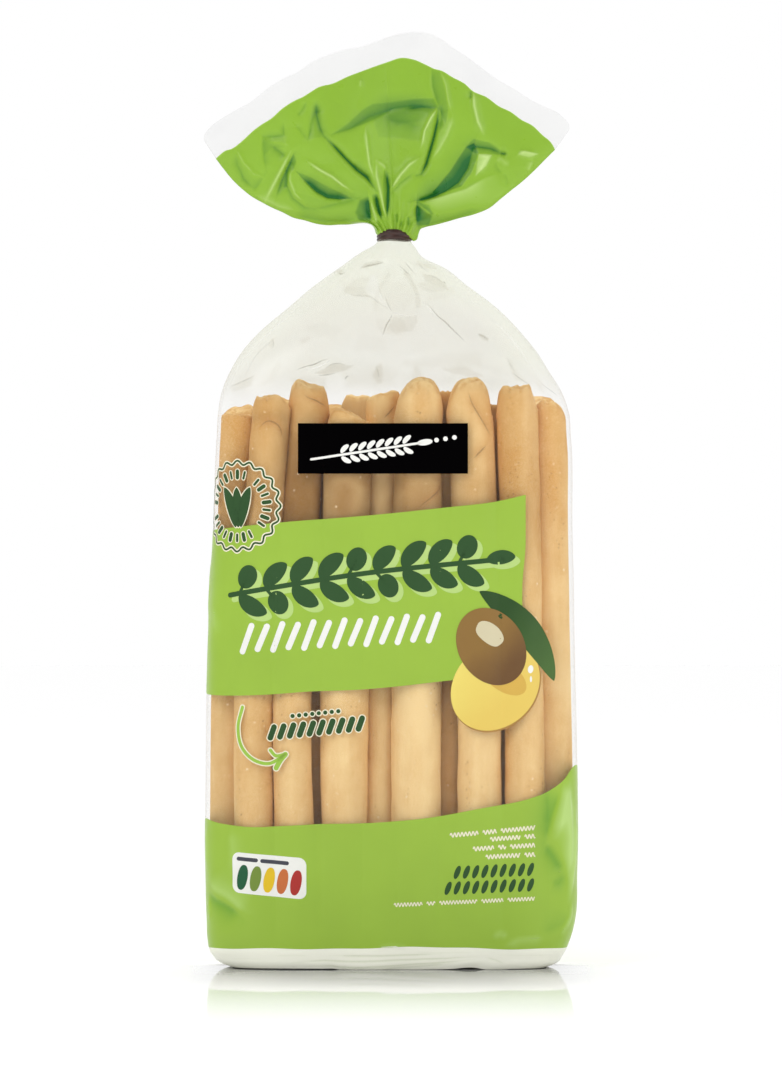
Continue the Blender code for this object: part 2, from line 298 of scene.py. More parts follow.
# Heights of the film's rings, in runs: from, to and how many. Millimetres.
FILM_RUNS = ((0.0, 4.0, 9), (4.0, 62.0, 66), (62.0, 176.0, 46), (176.0, 235.6, 122))
BODY_SQUARENESS = 4.6
NECK_SQUARENESS = 2.0
SHOULDER_LOW, SHOULDER_HIGH = 180.0 * MM, 228.0 * MM
STICK_REACH = 7.3
RIB_DEPTH = 0.8 * MM
PLEAT_COUNT = 15
SEAM_HALF_WIDTH = 5.0 * MM
SEAM_RISE = 0.16 * MM
FOLD_DEPTH = 0.9 * MM

# Thin creases in the front of the film's empty shoulder: a line, how strong it is, painted shade above 0 and
# painted highlight below, and how wide it is to the left and right of the line. Millimetres.
FILM_MARKS = (
    (((-30.6, 192.7), (-27.7, 193.8), (-24.5, 194.6), (-22.1, 195.8), (-20.1, 196.4)), 0.9, 0.15, 0.4),
    (((-28.5, 192.6), (-24.5, 193.3), (-21.4, 194.6), (-19.4, 196)), -0.6, 0.3, 0.35),
    (((-21, 193.4), (-19, 194.6), (-16.8, 194.9), (-14.6, 194.4)), 0.55, 0.15, 0.45),
    (((-23.6, 190.9), (-20, 191.3), (-17.4, 192)), 0.65, 0.15, 0.35),
    (((-14.9, 189.6), (-14.3, 190.6), (-13.5, 191)), 0.85, 0.2, 0.4),
    (((-4.9, 194.4), (-4.2, 192.4), (-3.9, 190.2)), 0.5, 0.3, 0.4),
    (((0.5, 211.1), (-0.3, 209.1), (-1.3, 207.5), (-2.1, 205.5), (-2.7, 203.7)), 0.7, 0.25, 0.45),
    (((-1.9, 217), (-1.2, 214.6), (-0.2, 212.6), (0.5, 211.2)), 0.5, 0.12, 0.25),
    (((0.6, 211.4), (4.5, 210.2), (8.5, 210.5)), -0.5, 0.2, 0.2),
    (((-4.2, 222), (-3.4, 218.2), (-2, 215)), 0.3, 0.12, 0.3),
    (((-15.2, 218.5), (-11.6, 216.9), (-6.8, 216.5), (-3.5, 214.1), (0, 211.7)), 0.32, 0.4, 0.12),
    (((2.1, 227.6), (4.5, 225.2), (6.9, 223.2)), 0.5, 0.15, 0.3),
    (((4.5, 228), (6.1, 226), (7.7, 224)), 0.5, 0.15, 0.3),
    (((11, 223.8), (14.2, 223), (17.3, 220.8)), 0.35, 0.15, 0.3),
    (((17.3, 221.5), (17.8, 221.2), (18.2, 220.8)), 0.9, 0.25, 0.25),
    (
        ((11.4, 214.5), (13, 212.7), (15, 210.3), (17.4, 208.3), (19.8, 205.9), (22.3, 203.4),
         (23.9, 201.6)),
        0.8, 0.15, 0.45,
    ),
    (((10.6, 214.6), (12.6, 212.2), (15.2, 209.4)), -0.4, 0.2, 0.5),
    (((27.8, 204.4), (29.6, 203.8), (31.4, 202.4)), 0.5, 0.3, 0.5),
    (((-10, 226), (-8, 226.8), (-5, 227.2), (-2.4, 228)), 0.7, 0.2, 0.5),
    (((-18.4, 224.7), (-17, 224.3), (-15.4, 225)), 0.6, 0.2, 0.4),
    (((-39.3, 203.2), (-38.2, 201.4), (-38.6, 199.4)), 0.35, 0.3, 0.3),
    (((-52.7, 187.5), (-48, 189.2), (-43.9, 190.9)), 0.35, 0.2, 0.4),
    (((38.4, 192.5), (41.5, 190.2), (44.8, 187.9)), 0.45, 0.15, 0.3),
    (((37.4, 196.6), (38.8, 194), (40.2, 191.4)), 0.3, 0.3, 0.3),
    (((48.9, 188.5), (52.9, 186.1), (56, 184.6)), 0.35, 0.2, 0.3),
    (((-54, 186.6), (-50, 195), (-42, 203)), -0.3, 0.6, 0.6),
    (((-48, 190), (-43.6, 198), (-36, 204.6)), 0.14, 0.5, 0.5),
    (((-44, 201.6), (-38.6, 206.6), (-31, 213.4)), -0.35, 0.7, 0.9),
    (((34, 209), (41, 201), (46.6, 192)), -0.25, 0.7, 0.7),
    (((8.6, 229), (10.2, 226.2), (12.6, 224.6)), 0.25, 0.3, 0.3),
)
# Patches of the shoulder's front between creases, with painted shade above 0 and painted light below: corners,
# how strong, and how soft the edge is. Millimetres.
FILM_FACETS = (
    (
        ((-24.5, 191.7), (-22.1, 192.5), (-19.7, 194.2), (-17.3, 194.8), (-14.8, 194.3), (-12, 194),
         (-14.8, 192.5), (-18.1, 191.9), (-21.3, 191.1)),
        0.55, 0.5,
    ),
    (((-6, 190.9), (-4.4, 194.2), (-3.1, 195), (-2.6, 192.1), (-3.1, 188.5), (-4.4, 188.5)), 0.38, 0.6),
    (
        ((-14.8, 191.7), (-8.4, 192.1), (-4.4, 193), (1.3, 192.1), (1.3, 188), (-5, 187), (-14, 187.5)),
        0.24, 2.4,
    ),
    (((-31.8, 190), (-26, 190.6), (-21.3, 190), (-20.5, 187), (-24, 186), (-30, 187)), 0.24, 1),
    (((0.9, 210.3), (8.5, 210.3), (8.5, 207.9), (6.9, 205.5), (1.3, 204.6), (-1.1, 206.3)), 0.34, 0.6),
    (
        ((4.5, 225.6), (6.5, 222.8), (8.5, 219.2), (9.5, 215.9), (9.4, 212.7), (8.1, 212.7),
         (7.6, 217.6), (6.1, 220.8), (4.1, 224)),
        0.34, 0.5,
    ),
    (((4.5, 229.2), (8.5, 228), (10.2, 225.6), (7.7, 224), (5.7, 226.4)), -0.25, 0.5),
    (((10.2, 224), (14.2, 223.2), (17.4, 220.8), (18.2, 219), (15, 219.6), (11, 222)), 0.4, 0.5),
    (((8.5, 220.8), (11.8, 221.6), (15, 219.6), (18.2, 218.8), (12.6, 217.7), (9.4, 218.8)), 0.26, 0.6),
    (((-9.8, 226), (-8.4, 227.6), (-4.4, 228.3), (-2.3, 228), (-5.2, 226.8), (-7.6, 226.4)), 0.5, 0.4),
    (((-18.5, 224.8), (-17.3, 225.8), (-16, 225.6), (-15.2, 225.2), (-16.8, 224.2)), 0.4, 0.4),
    (((-6.4, 224), (-4.4, 222.8), (-3.5, 218), (-0.3, 211.9), (-4.4, 214.3), (-8.4, 218.8)), -0.4, 0.6),
    (
        ((-15.2, 220.2), (-8.4, 219.6), (-7, 217.2), (-3.5, 214.8), (-0.2, 212.2), (-3.5, 213.6),
         (-6.8, 216.2), (-11.6, 216.6), (-15.2, 218.2)),
        0.22, 0.5,
    ),
    (
        ((-4.4, 222), (4.5, 221.2), (6.9, 218.3), (8.5, 212.7), (8.5, 210.7), (4.5, 210.1),
         (0.5, 211.5), (-1.9, 215.1), (-3.5, 218.3)),
        0.1, 0.4,
    ),
    (((27.9, 204.2), (29.5, 204.2), (31.5, 203), (31.1, 201.8), (29.5, 202.6)), 0.45, 0.4),
    (((-39.4, 200.6), (-38.9, 202.6), (-37.8, 203), (-38.1, 199.8)), 0.3, 0.4),
    (((4.5, 195), (10, 196.5), (20, 198.2), (28.7, 198.2), (28.7, 194.2), (16, 193), (8, 192.6)), 0.2, 2),
    (((37, 196.6), (38.6, 196.2), (41.2, 191), (44.8, 188.2), (40, 189.6)), 0.2, 0.7),
    (((-52.7, 187.7), (-48, 189.4), (-43.9, 190.9), (-45, 187.6), (-51, 185.6)), 0.2, 0.6),
    (((-28.5, 206.6), (-22, 208.2), (-17, 207.3), (-17.3, 203.4), (-24, 203)), 0.12, 1.2),
    (((9.6, 213), (12.6, 212.4), (21, 204), (15, 202.6), (9.6, 205.6)), -0.14, 0.8),
    (((14.6, 214.2), (24.6, 203), (31, 208), (22, 217)), -0.12, 1.4),
    (((38, 202), (46.4, 193), (50, 188), (44, 196), (34, 209)), -0.16, 1),
    (((-10, 205), (-2, 202.6), (-1, 198.6), (-12, 199)), 0.12, 1.2),
    (((-34, 222), (-24, 222), (-20, 214), (-30, 208)), 0.05, 2),
)
# Folds in the front of the film on the sticks: a line, how deep it is from -1 on a ridge to 1 in
# a valley, and over what width that fades to the left and right of the line. Millimetres.
# Each fold also paints shade into its valley and a highlight onto its ridge, on the film and on the ink laid over
# it.
FILM_FOLDS = (
    # at the lower right corner
    (((54.6, 57.6), (51.8, 49.0), (49.6, 41.0)), 0.7, 0.5, 3.4),
    (((57.4, 60.0), (55.8, 50.0), (53.6, 43.0)), -0.8, 1.0, 1.5),
    (((49.6, 40.4), (52.6, 36.4), (55.8, 31.4)), 0.9, 0.9, 2.2),
    (((56.8, 57.0), (57.8, 42.0), (57.4, 30.0)), -1.0, 1.6, 1.2),
    (((62.0, 50.0), (60.8, 34.0), (57.8, 22.0)), -0.8, 0.7, 1.6),
    (((52.2, 28.6), (54.4, 27.6), (56.2, 30.4)), 0.6, 1.4, 1.4),
    (((59.6, 21.0), (59.0, 17.0), (57.6, 14.0)), -0.6, 0.6, 0.8),
    (((54.8, 11.2), (56.4, 13.6), (58.4, 16.0)), -0.5, 0.5, 0.8),
    (((36.5, 7.6), (41.0, 9.6), (49.5, 10.4)), -0.4, 0.6, 1.6),
    (((32.6, 10.6), (35.0, 11.6), (37.6, 10.6)), -0.4, 0.8, 0.8),
    (((48.5, 12.0), (56.0, 14.6), (58.5, 18.5)), 0.35, 3.0, 1.0),
    (((50.6, 58.0), (50.8, 51.0), (50.4, 46.0)), 0.35, 0.6, 1.8),
    # at the lower left corner
    (((-62.0, 24.2), (-55.0, 21.0), (-48.4, 17.2)), 0.85, 0.7, 2.6),
    (((-60.0, 28.0), (-53.0, 24.0), (-46.4, 18.6)), -0.6, 3.0, 1.0),
    (((-61.4, 21.6), (-61.0, 18.6), (-61.2, 16.6)), -0.9, 0.7, 0.7),
    (((-51.6, 45.0), (-51.0, 38.0), (-50.8, 31.0)), -0.3, 2.5, 1.0),
    (((-62.0, 45.0), (-62.0, 39.0), (-62.5, 33.0)), -0.6, 0.9, 0.9),
    (((-66.0, 132.0), (-64.0, 122.0), (-64.5, 112.0)), -0.5, 1.0, 1.6),
    (((-58.6, 116.0), (-57.6, 112.0), (-55.4, 108.6)), -0.35, 1.2, 0.8),
    # along the foot
    (((-5.0, 6.9), (0.0, 7.7), (6.0, 7.3)), -0.3, 0.6, 0.4),
)
# Fine lines where the foot's folded layers end, of the same kind, shown in the hem's ink as painted shade.
HEM_LINES = (
    (((-53.0, 3.2), (-46.0, 3.4), (-40.0, 3.2)), 0.20, 0.12, 0.35),
    (((-38.0, 4.5), (-31.0, 4.7), (-26.0, 4.6)), 0.25, 0.12, 0.30),
    (((-34.0, 1.8), (-28.0, 2.4), (-20.0, 2.9)), 0.25, 0.12, 0.30),
    (((-20.0, 4.7), (-4.0, 4.6), (16.0, 5.2)), 0.60, 0.12, 0.30),
    (((-30.0, 2.9), (-4.0, 3.1), (14.0, 3.6), (27.5, 4.1)), 0.65, 0.12, 0.32),
    (((-26.5, 1.0), (0.0, 1.5), (14.0, 2.2), (27.0, 3.1)), 0.65, 0.12, 0.32),
    (((-6.0, 0.7), (6.0, 0.9), (20.0, 1.9)), 0.40, 0.12, 0.25),
    (((6.0, 5.8), (18.0, 5.5), (27.0, 5.6)), 0.25, 0.12, 0.30),
    (((30.5, 3.9), (34.0, 3.1), (36.6, 1.9)), 0.45, 0.12, 0.30),
    (((32.0, 5.0), (42.0, 4.6), (52.0, 4.4)), 0.22, 0.12, 0.30),
)
# How far the foot is drawn up: place round the film from the middle of the front, and height.
FOOT_RAISE = (
    (-150.0, 0.1), (-60.0, 0.15), (-22.0, 0.25), (-17.4, 0.2), (-16.2, 0.0), (8.0, 0.0),
    (20.0, 0.2), (27.0, 0.6), (30.5, 0.05), (40.0, 0.1), (52.0, 0.15), (70.0, 0.2), (150.0, 0.1),
)


# The film's rings next to the tie: height, left, right and half depth. Millimetres.
NECK_RINGS = (
    (229.3, -12.7, 10.9, 8.0), (230.6, -10.8, 9.4, 7.2), (231.9, -8.7, 8.5, 6.4),
    (233.1, -6.5, 7.8, 5.6), (234.0, -5.0, 7.0, 5.0), (235.2, -4.3, 6.4, 4.6),
)


def bag_outline():
    """The bag's level rings below the tie: height, left, right and half depth of each."""
    points = np.array([vertex.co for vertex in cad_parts["bag"].data.vertices])
    points = points[points[:, 2] < (NECK_RINGS[0][0] - 1) * MM]
    levels = np.round(points[:, 2], 5)
    rows = []
    for level in np.unique(levels):
        ring = points[levels == level]
        rows.append((level, ring[:, 0].min(), ring[:, 0].max(), np.ptp(ring[:, 1]) / 2))
    return np.array(rows + [tuple(size * MM for size in row) for row in NECK_RINGS])


def film_shares():
    """Where the film's columns stand: 0 in the middle of the front, -0.5 and 0.5 in that of the
    back. They stand closer in front."""
    side = np.linspace(0.0, 0.25, FILM_BACK_COLUMNS // 2, endpoint=False)
    front = np.linspace(-0.25, 0.25, FILM_FRONT_COLUMNS, endpoint=False)
    return np.concatenate([side - 0.5, front, side + 0.25])


def ring_points(half_width, half_depth, squareness):
    """The film's points round a superellipse, from the middle of the back by the left side, and
    the length round it."""
    angle = np.linspace(-1.5 * np.pi, 0.5 * np.pi, 1441)
    cos, sin = np.cos(angle), np.sin(angle)
    x = half_width * np.sign(cos) * np.abs(cos) ** (2 / squareness)
    y = half_depth * np.sign(sin) * np.abs(sin) ** (2 / squareness)
    along = np.append(0.0, np.cumsum(np.hypot(np.diff(x), np.diff(y))))
    steps = (film_shares() + 0.5) * along[-1]
    return np.interp(steps, along, x), np.interp(steps, along, y), along[-1]


def grid_normals(points):
    """Outward unit normals of a grid of rings."""
    across = np.roll(points, -1, axis=1) - np.roll(points, 1, axis=1)
    up = np.gradient(points, axis=0)
    normal = np.cross(across, up)
    return normal / np.maximum(np.linalg.norm(normal, axis=2, keepdims=True), 1e-12)


def rib_dip(x, height, rows):
    """How far the film dips between the sticks it lies on, from 0 on a stick to 1."""
    nearest = np.full(x.shape, 99.0)
    for foot_middle_top in rows:
        nearest = np.minimum(nearest, np.abs(x / MM - stick_way(foot_middle_top, height / MM)))
    return np.minimum(nearest / STICK_REACH, 1.0) ** 2


def fold_field(x, z, folds, soft=0.35):
    """How far folds push a sheet in at each place of it, in their own unit."""
    return sum(crease(x, z, *fold, soft=soft) for fold in folds)


def film_relief(points, share):
    """How far each point of the film stands out along its normal, how hazy and green-tinged it is there, and how
    deep in a fold, which its material shows as painted shade in valleys and painted highlight on ridges. share
    runs round the film: 0 in the middle of the front, and -0.5 and 0.5 in that of the back."""
    x, y, z = points[..., 0], points[..., 1], points[..., 2]
    front = y < 0
    outer = [stick[1] for stick in STICKS if stick[2][1] < -9]
    behind = [stick[1] for stick in STICKS if stick[2][1] > 12]
    on_sticks = ease(z, 6 * MM, 24 * MM) * (1 - ease(z, 174 * MM, 188 * MM))
    dip = np.where(front, rib_dip(x, z, outer), rib_dip(x, z, behind))
    side = ease(np.abs(x), 52 * MM, 58 * MM)
    relief = -RIB_DEPTH * dip * on_sticks * (1 - side)

    slack = ease(z, 178 * MM, 200 * MM)
    gather = ease(z, 196 * MM, 233 * MM)
    lobes = noise(points / (26 * MM), 11)
    relief += 1.0 * MM * slack * (1 - gather) * lobes
    crumple = noise(points / (15 * MM) + 3.0, 5) + 0.15 * noise(points / (7 * MM), 7)
    fine = dents(points / (8 * MM), 9) - 0.35
    relief += slack * (1 - 0.5 * gather) * 0.35 * MM * crumple
    taut = (1 - slack) * (0.08 * MM * fine + 0.14 * MM * noise(points / (14 * MM), 3))
    relief += taut * np.where(front, 0.5, 1.2)

    wander = 0.8 * noise(points / (9 * MM), 21)
    wave = np.cos(2 * np.pi * PLEAT_COUNT * share + wander)
    uneven = 0.5 + 0.5 * noise(points / (6 * MM), 23)
    pleats = gather * gather * (1 - 0.3 * gather) * (1 - 0.85 * ease(z, 229 * MM, 234 * MM))
    relief += 0.36 * MM * pleats * wave * (0.4 + 0.6 * uneven)

    place = front_place(x, y) / MM
    folds = np.where(front, fold_field(place, z / MM, FILM_FOLDS), 0.0)
    place = np.where(front, place, 4.0 - 0.93 * place)
    patches = sum(facet(place, z / MM, *patch) for patch in FILM_FACETS)
    wide = [(line, deep, left + 1.4, right + 1.4) for line, deep, left, right in FILM_MARKS]
    bend = fold_field(place, z / MM, wide, 0.9)
    relief -= FOLD_DEPTH * folds + 0.25 * MM * bend
    # fold becomes painted shade and light in the materials, from folds, patches and crease lines.
    folds = folds + patches * np.where(front, 1.0, 0.5) + 0.12 * bend
    # Painted shade on the film just above the sticks.
    folds = folds + 0.14 * slack * (1 - ease(z, 186 * MM, 198 * MM))

    seam = 1 - ease(np.abs(x), SEAM_HALF_WIDTH, SEAM_HALF_WIDTH + 1.4 * MM)
    seam = np.where(front, 0.0, seam * (1 - gather))
    relief += SEAM_RISE * seam

    haze = 0.035 + 0.145 * slack + 0.10 * gather + 0.02 * seam
    haze += 0.32 * np.abs(folds) * (0.3 + 0.7 * slack) + 0.04 * slack * lobes
    haze += 0.03 * slack * crumple
    tinge = ease(z, 200 * MM, 226 * MM) + 0.7 * slack * ease(np.abs(x), 24 * MM, 44 * MM)
    tinge += 0.3 * noise(points / (22 * MM), 27)
    return relief, np.clip(haze, 0.0, 1.0), np.clip(tinge, 0.0, 1.0), folds


def front_place(x, y):
    """x, plus about how far a point lies round the corner of the bag past it."""
    turned = np.maximum(y + 0.72 * BAG_HIGH[1], 0.0)
    return x + np.sign(x) * 0.7 * turned * ease(np.abs(x), 45 * MM, 56 * MM)


def make_film_grid():
    """The film below the tie: its heights, its points in rows of rings, the middle x and the
    length round each row, and what its materials read."""
    outline = bag_outline()
    runs = [np.linspace(low, high, count, endpoint=False) for low, high, count in FILM_RUNS]
    heights = np.append(np.concatenate(runs), FILM_RUNS[-1][1]) * MM
    left, right, depth = (curve(outline[:, [0, i]], heights) for i in (1, 2, 3))
    right = right + 0.9 * MM * np.exp(-(((heights - 17 * MM) / (11 * MM)) ** 2))
    right = right + 1.2 * MM * np.exp(-(((heights - 214 * MM) / (7 * MM)) ** 2))
    left = left - 0.5 * MM * np.exp(-(((heights - 6 * MM) / (6 * MM)) ** 2))
    square = ease(heights, SHOULDER_LOW, SHOULDER_HIGH)
    square = BODY_SQUARENESS + (NECK_SQUARENESS - BODY_SQUARENESS) * square
    rings, rounds = [], []
    for i, height in enumerate(heights):
        x, y, length = ring_points((right[i] - left[i]) / 2, depth[i], square[i])
        rings.append(np.stack([x + (left[i] + right[i]) / 2, y, np.full(len(x), height)], axis=1))
        rounds.append(length)
    points = np.array(rings)
    share = film_shares()
    relief, haze, tinge, fold = film_relief(points, np.broadcast_to(share, points.shape[:2]))
    normals = grid_normals(points)
    slack = ease(heights, 178 * MM, 200 * MM)[:, None]
    relief = relief * ease(heights, 0.0, 1.2 * MM)[:, None]
    relief = relief * (1 - 0.8 * slack * (1 - ease(np.abs(normals[..., 1]), 0.05, 0.5)))
    points = points + normals * relief[..., None]
    near_foot = 1 - ease(heights, 0.0, 6.0 * MM)[:, None]
    points[..., 2] += MM * curve(FOOT_RAISE, share * rounds[0] / MM) * near_foot
    points[..., 2] = np.maximum(points[..., 2], 0.0)
    return {
        "heights": heights,
        "points": points,
        "normals": grid_normals(points),
        "middle": (left + right) / 2,
        "round": np.array(rounds),
        "haze": haze,
        "tinge": tinge,
        "fold": fold,
    }


def read_film(film, key, place, height):
    """What the film has at a place round it from the middle of the front and a height, both in
    millimetres."""
    row = np.interp(height * MM, film["heights"], np.arange(len(film["heights"])))
    around = np.interp(height * MM, film["heights"], film["round"])
    middle = np.interp(height * MM, film["heights"], film["middle"])
    share = np.mod((place * MM - middle) / around + 0.5, 1.0) - 0.5
    column = np.interp(share, np.append(film_shares(), 0.5), np.arange(FILM_COLUMNS + 1))
    r = np.clip(np.floor(row).astype(int), 0, len(film["heights"]) - 2)
    c = np.floor(column).astype(int)
    up, across = row - r, column - c
    grid = film[key]
    if grid.ndim == 3:
        up, across = up[..., None], across[..., None]
    c, d = c % FILM_COLUMNS, (c + 1) % FILM_COLUMNS
    low = grid[r, c] * (1 - across) + grid[r, d] * across
    high = grid[r + 1, c] * (1 - across) + grid[r + 1, d] * across
    return low * (1 - up) + high * up


def on_film(film, place, height, lift):
    """Points on the film, standing lift off it."""
    points = read_film(film, "points", place, height)
    return points + read_film(film, "normals", place, height) * lift


def make_film(film, material):
    points = film["points"]
    faces = grid_faces(len(points), FILM_COLUMNS, closed=True)
    values = {key: film[key] for key in ("haze", "tinge", "fold")}
    new_piece("film_bag", points, faces, material, values=values)


def ribbon(line, deep, left, right, count=28):
    """A crease as a flat ribbon about a line: its points, how strong it is there, and faces."""
    line = smooth_line(line, count)
    way = np.gradient(line, axis=0)
    way = way / np.maximum(np.linalg.norm(way, axis=1, keepdims=True), 1e-9)
    side = np.stack([-way[:, 1], way[:, 0]], axis=1)
    across = np.array((1.0, 0.6, 0.3, 0.0, -0.3, -0.6, -1.0))
    taper = np.sin(np.pi * np.linspace(0.0, 1.0, count))[:, None] ** 0.6
    reach = np.where(across > 0, left, right) * across * (0.35 + 0.65 * taper)
    flat = line[:, None] + side[:, None] * reach[..., None]
    strength = abs(deep) * taper * (1 - np.abs(across)) ** 1.2
    return flat, strength, grid_faces(count, len(across), False)[:, ::-1]


def make_marks(film, shade, light):
    """The shoulder's thin creases, as ribbons on the film: painted shade along valleys and painted highlights
    along ridges.
    """
    for name, sign, material in (("film_crease_painted_shade", 1, shade), ("film_ridge_painted_highlights", -1, light)):
        points, marks, faces, count = [], [], [], 0
        for line, deep, left, right in FILM_MARKS:
            if deep * sign > 0:
                flat, strength, quads = ribbon(line, deep, left, right)
                points.append(on_film(film, flat[..., 0], flat[..., 1], 0.05 * MM).reshape(-1, 3))
                marks.append(strength.ravel())
                faces.append(quads + count)
                count += strength.size
        points, marks, faces = (np.concatenate(parts) for parts in (points, marks, faces))
        new_piece(name, points, faces, material, values={"mark": marks})


def make_base(film, material):
    """The folded underside, drawn in from the film's lowest ring."""
    ring = film["points"][0]
    shares = np.array((1.0, 0.97, 0.9, 0.75, 0.55, 0.3, 0.05))
    middle = ring.mean(axis=0)
    points = middle + (ring - middle) * shares[:, None, None]
    points[1:, :, 2] += 0.25 * MM
    points = points[::-1]
    values = {"haze": np.full(points.shape[:2], 0.6), "tinge": np.full(points.shape[:2], 0.6)}
    faces = grid_faces(len(points), FILM_COLUMNS, closed=True)
    new_piece("film_base", points, faces, material, values=values)


# ---------------------------------------------------------------- the fan above the tie

FAN_FRONT_COLUMNS = 430
FAN_BACK_COLUMNS = 90
PRINT_ROWS = 150
MARGIN_ROWS = 14
FAN_MOUTH = 3.0 * MM
FAN_BELLY = 3.2 * MM
FAN_FOLD_DEPTH = 1.2 * MM
NECK_START = (1.1, 236.4)
NECK_HALF = (5.0, 4.2)
# The fan's free edge from its left corner to its right one, as (x, z). Millimetres.
FAN_EDGE = (
    (-60.7, 267.5), (-60.6, 269.2), (-59.5, 271.0), (-57.9, 272.6), (-54.5, 275.0), (-50.2, 277.5),
    (-45.2, 280.3), (-40.2, 284.3), (-35.2, 287.5), (-30.1, 289.9), (-25.1, 293.3), (-20.1, 295.4),
    (-15.1, 297.1), (-10.0, 298.0), (-5.0, 299.8), (0.0, 301.6), (4.0, 302.5), (9.0, 302.8),
    (13.1, 302.2), (16.1, 300.7), (20.1, 297.8), (25.1, 294.5), (30.1, 290.7), (35.2, 287.1),
    (40.2, 284.3), (45.2, 281.0), (50.2, 278.5), (54.3, 276.5), (56.5, 274.5), (57.9, 272.2),
    (57.6, 270.6),
)
# The edge of its print, the same way.
PRINT_EDGE = (
    (-56.9, 261.6), (-55.5, 262.9), (-53.7, 264.2), (-51.7, 264.8), (-49.2, 266.5), (-46.8, 268.6),
    (-44.4, 270.8), (-42.2, 272.4), (-38.7, 274.6), (-35.2, 277.7), (-31.1, 280.3), (-28.5, 281.5),
    (-26.1, 283.0), (-23.5, 284.6), (-18.7, 285.9), (-14.1, 288.1), (-10.0, 289.7), (-5.0, 291.6),
    (-1.0, 293.0), (3.4, 294.3), (7.5, 293.7), (11.6, 291.9), (14.1, 290.7), (16.1, 290.2),
    (20.1, 287.9), (23.7, 286.0), (26.7, 283.4), (30.7, 281.7), (35.2, 278.5), (38.8, 276.8),
    (42.2, 274.3), (45.8, 272.4), (49.2, 269.2), (51.6, 267.2), (52.9, 265.2), (53.2, 264.4),
)
# Its lower edges, from the tie to the print's left corner and to its right one.
FAN_LOW_LEFT = (
    (-3.9, 236.9), (-4.9, 237.9), (-5.3, 239.2), (-5.8, 240.2), (-6.6, 240.9), (-7.8, 241.3),
    (-10.0, 241.2), (-14.1, 240.7), (-17.1, 240.6), (-20.1, 240.4), (-24.1, 240.8), (-28.1, 241.9),
    (-31.7, 242.7), (-35.2, 244.4), (-38.7, 245.9), (-42.2, 247.7), (-45.2, 249.4), (-48.2, 251.7),
    (-51.2, 254.5), (-54.3, 258.2), (-56.9, 261.6),
)
FAN_LOW_RIGHT = (
    (6.0, 237.1), (7.2, 235.6), (8.2, 236.0), (8.9, 238.0), (9.6, 239.5), (10.9, 240.0), (14.1, 240.7),
    (18.1, 241.7), (22.1, 242.8), (27.1, 244.0), (32.2, 246.1), (35.2, 248.5), (38.7, 251.3),
    (42.2, 254.0), (45.2, 256.6), (48.2, 259.5), (50.6, 261.9), (53.2, 264.4),
)
# Broad waves across the fan: waves, phase and depth in millimetres.
FAN_WAVES = ((3.1, 0.4, 1.8), (7.9, 1.9, 0.7))
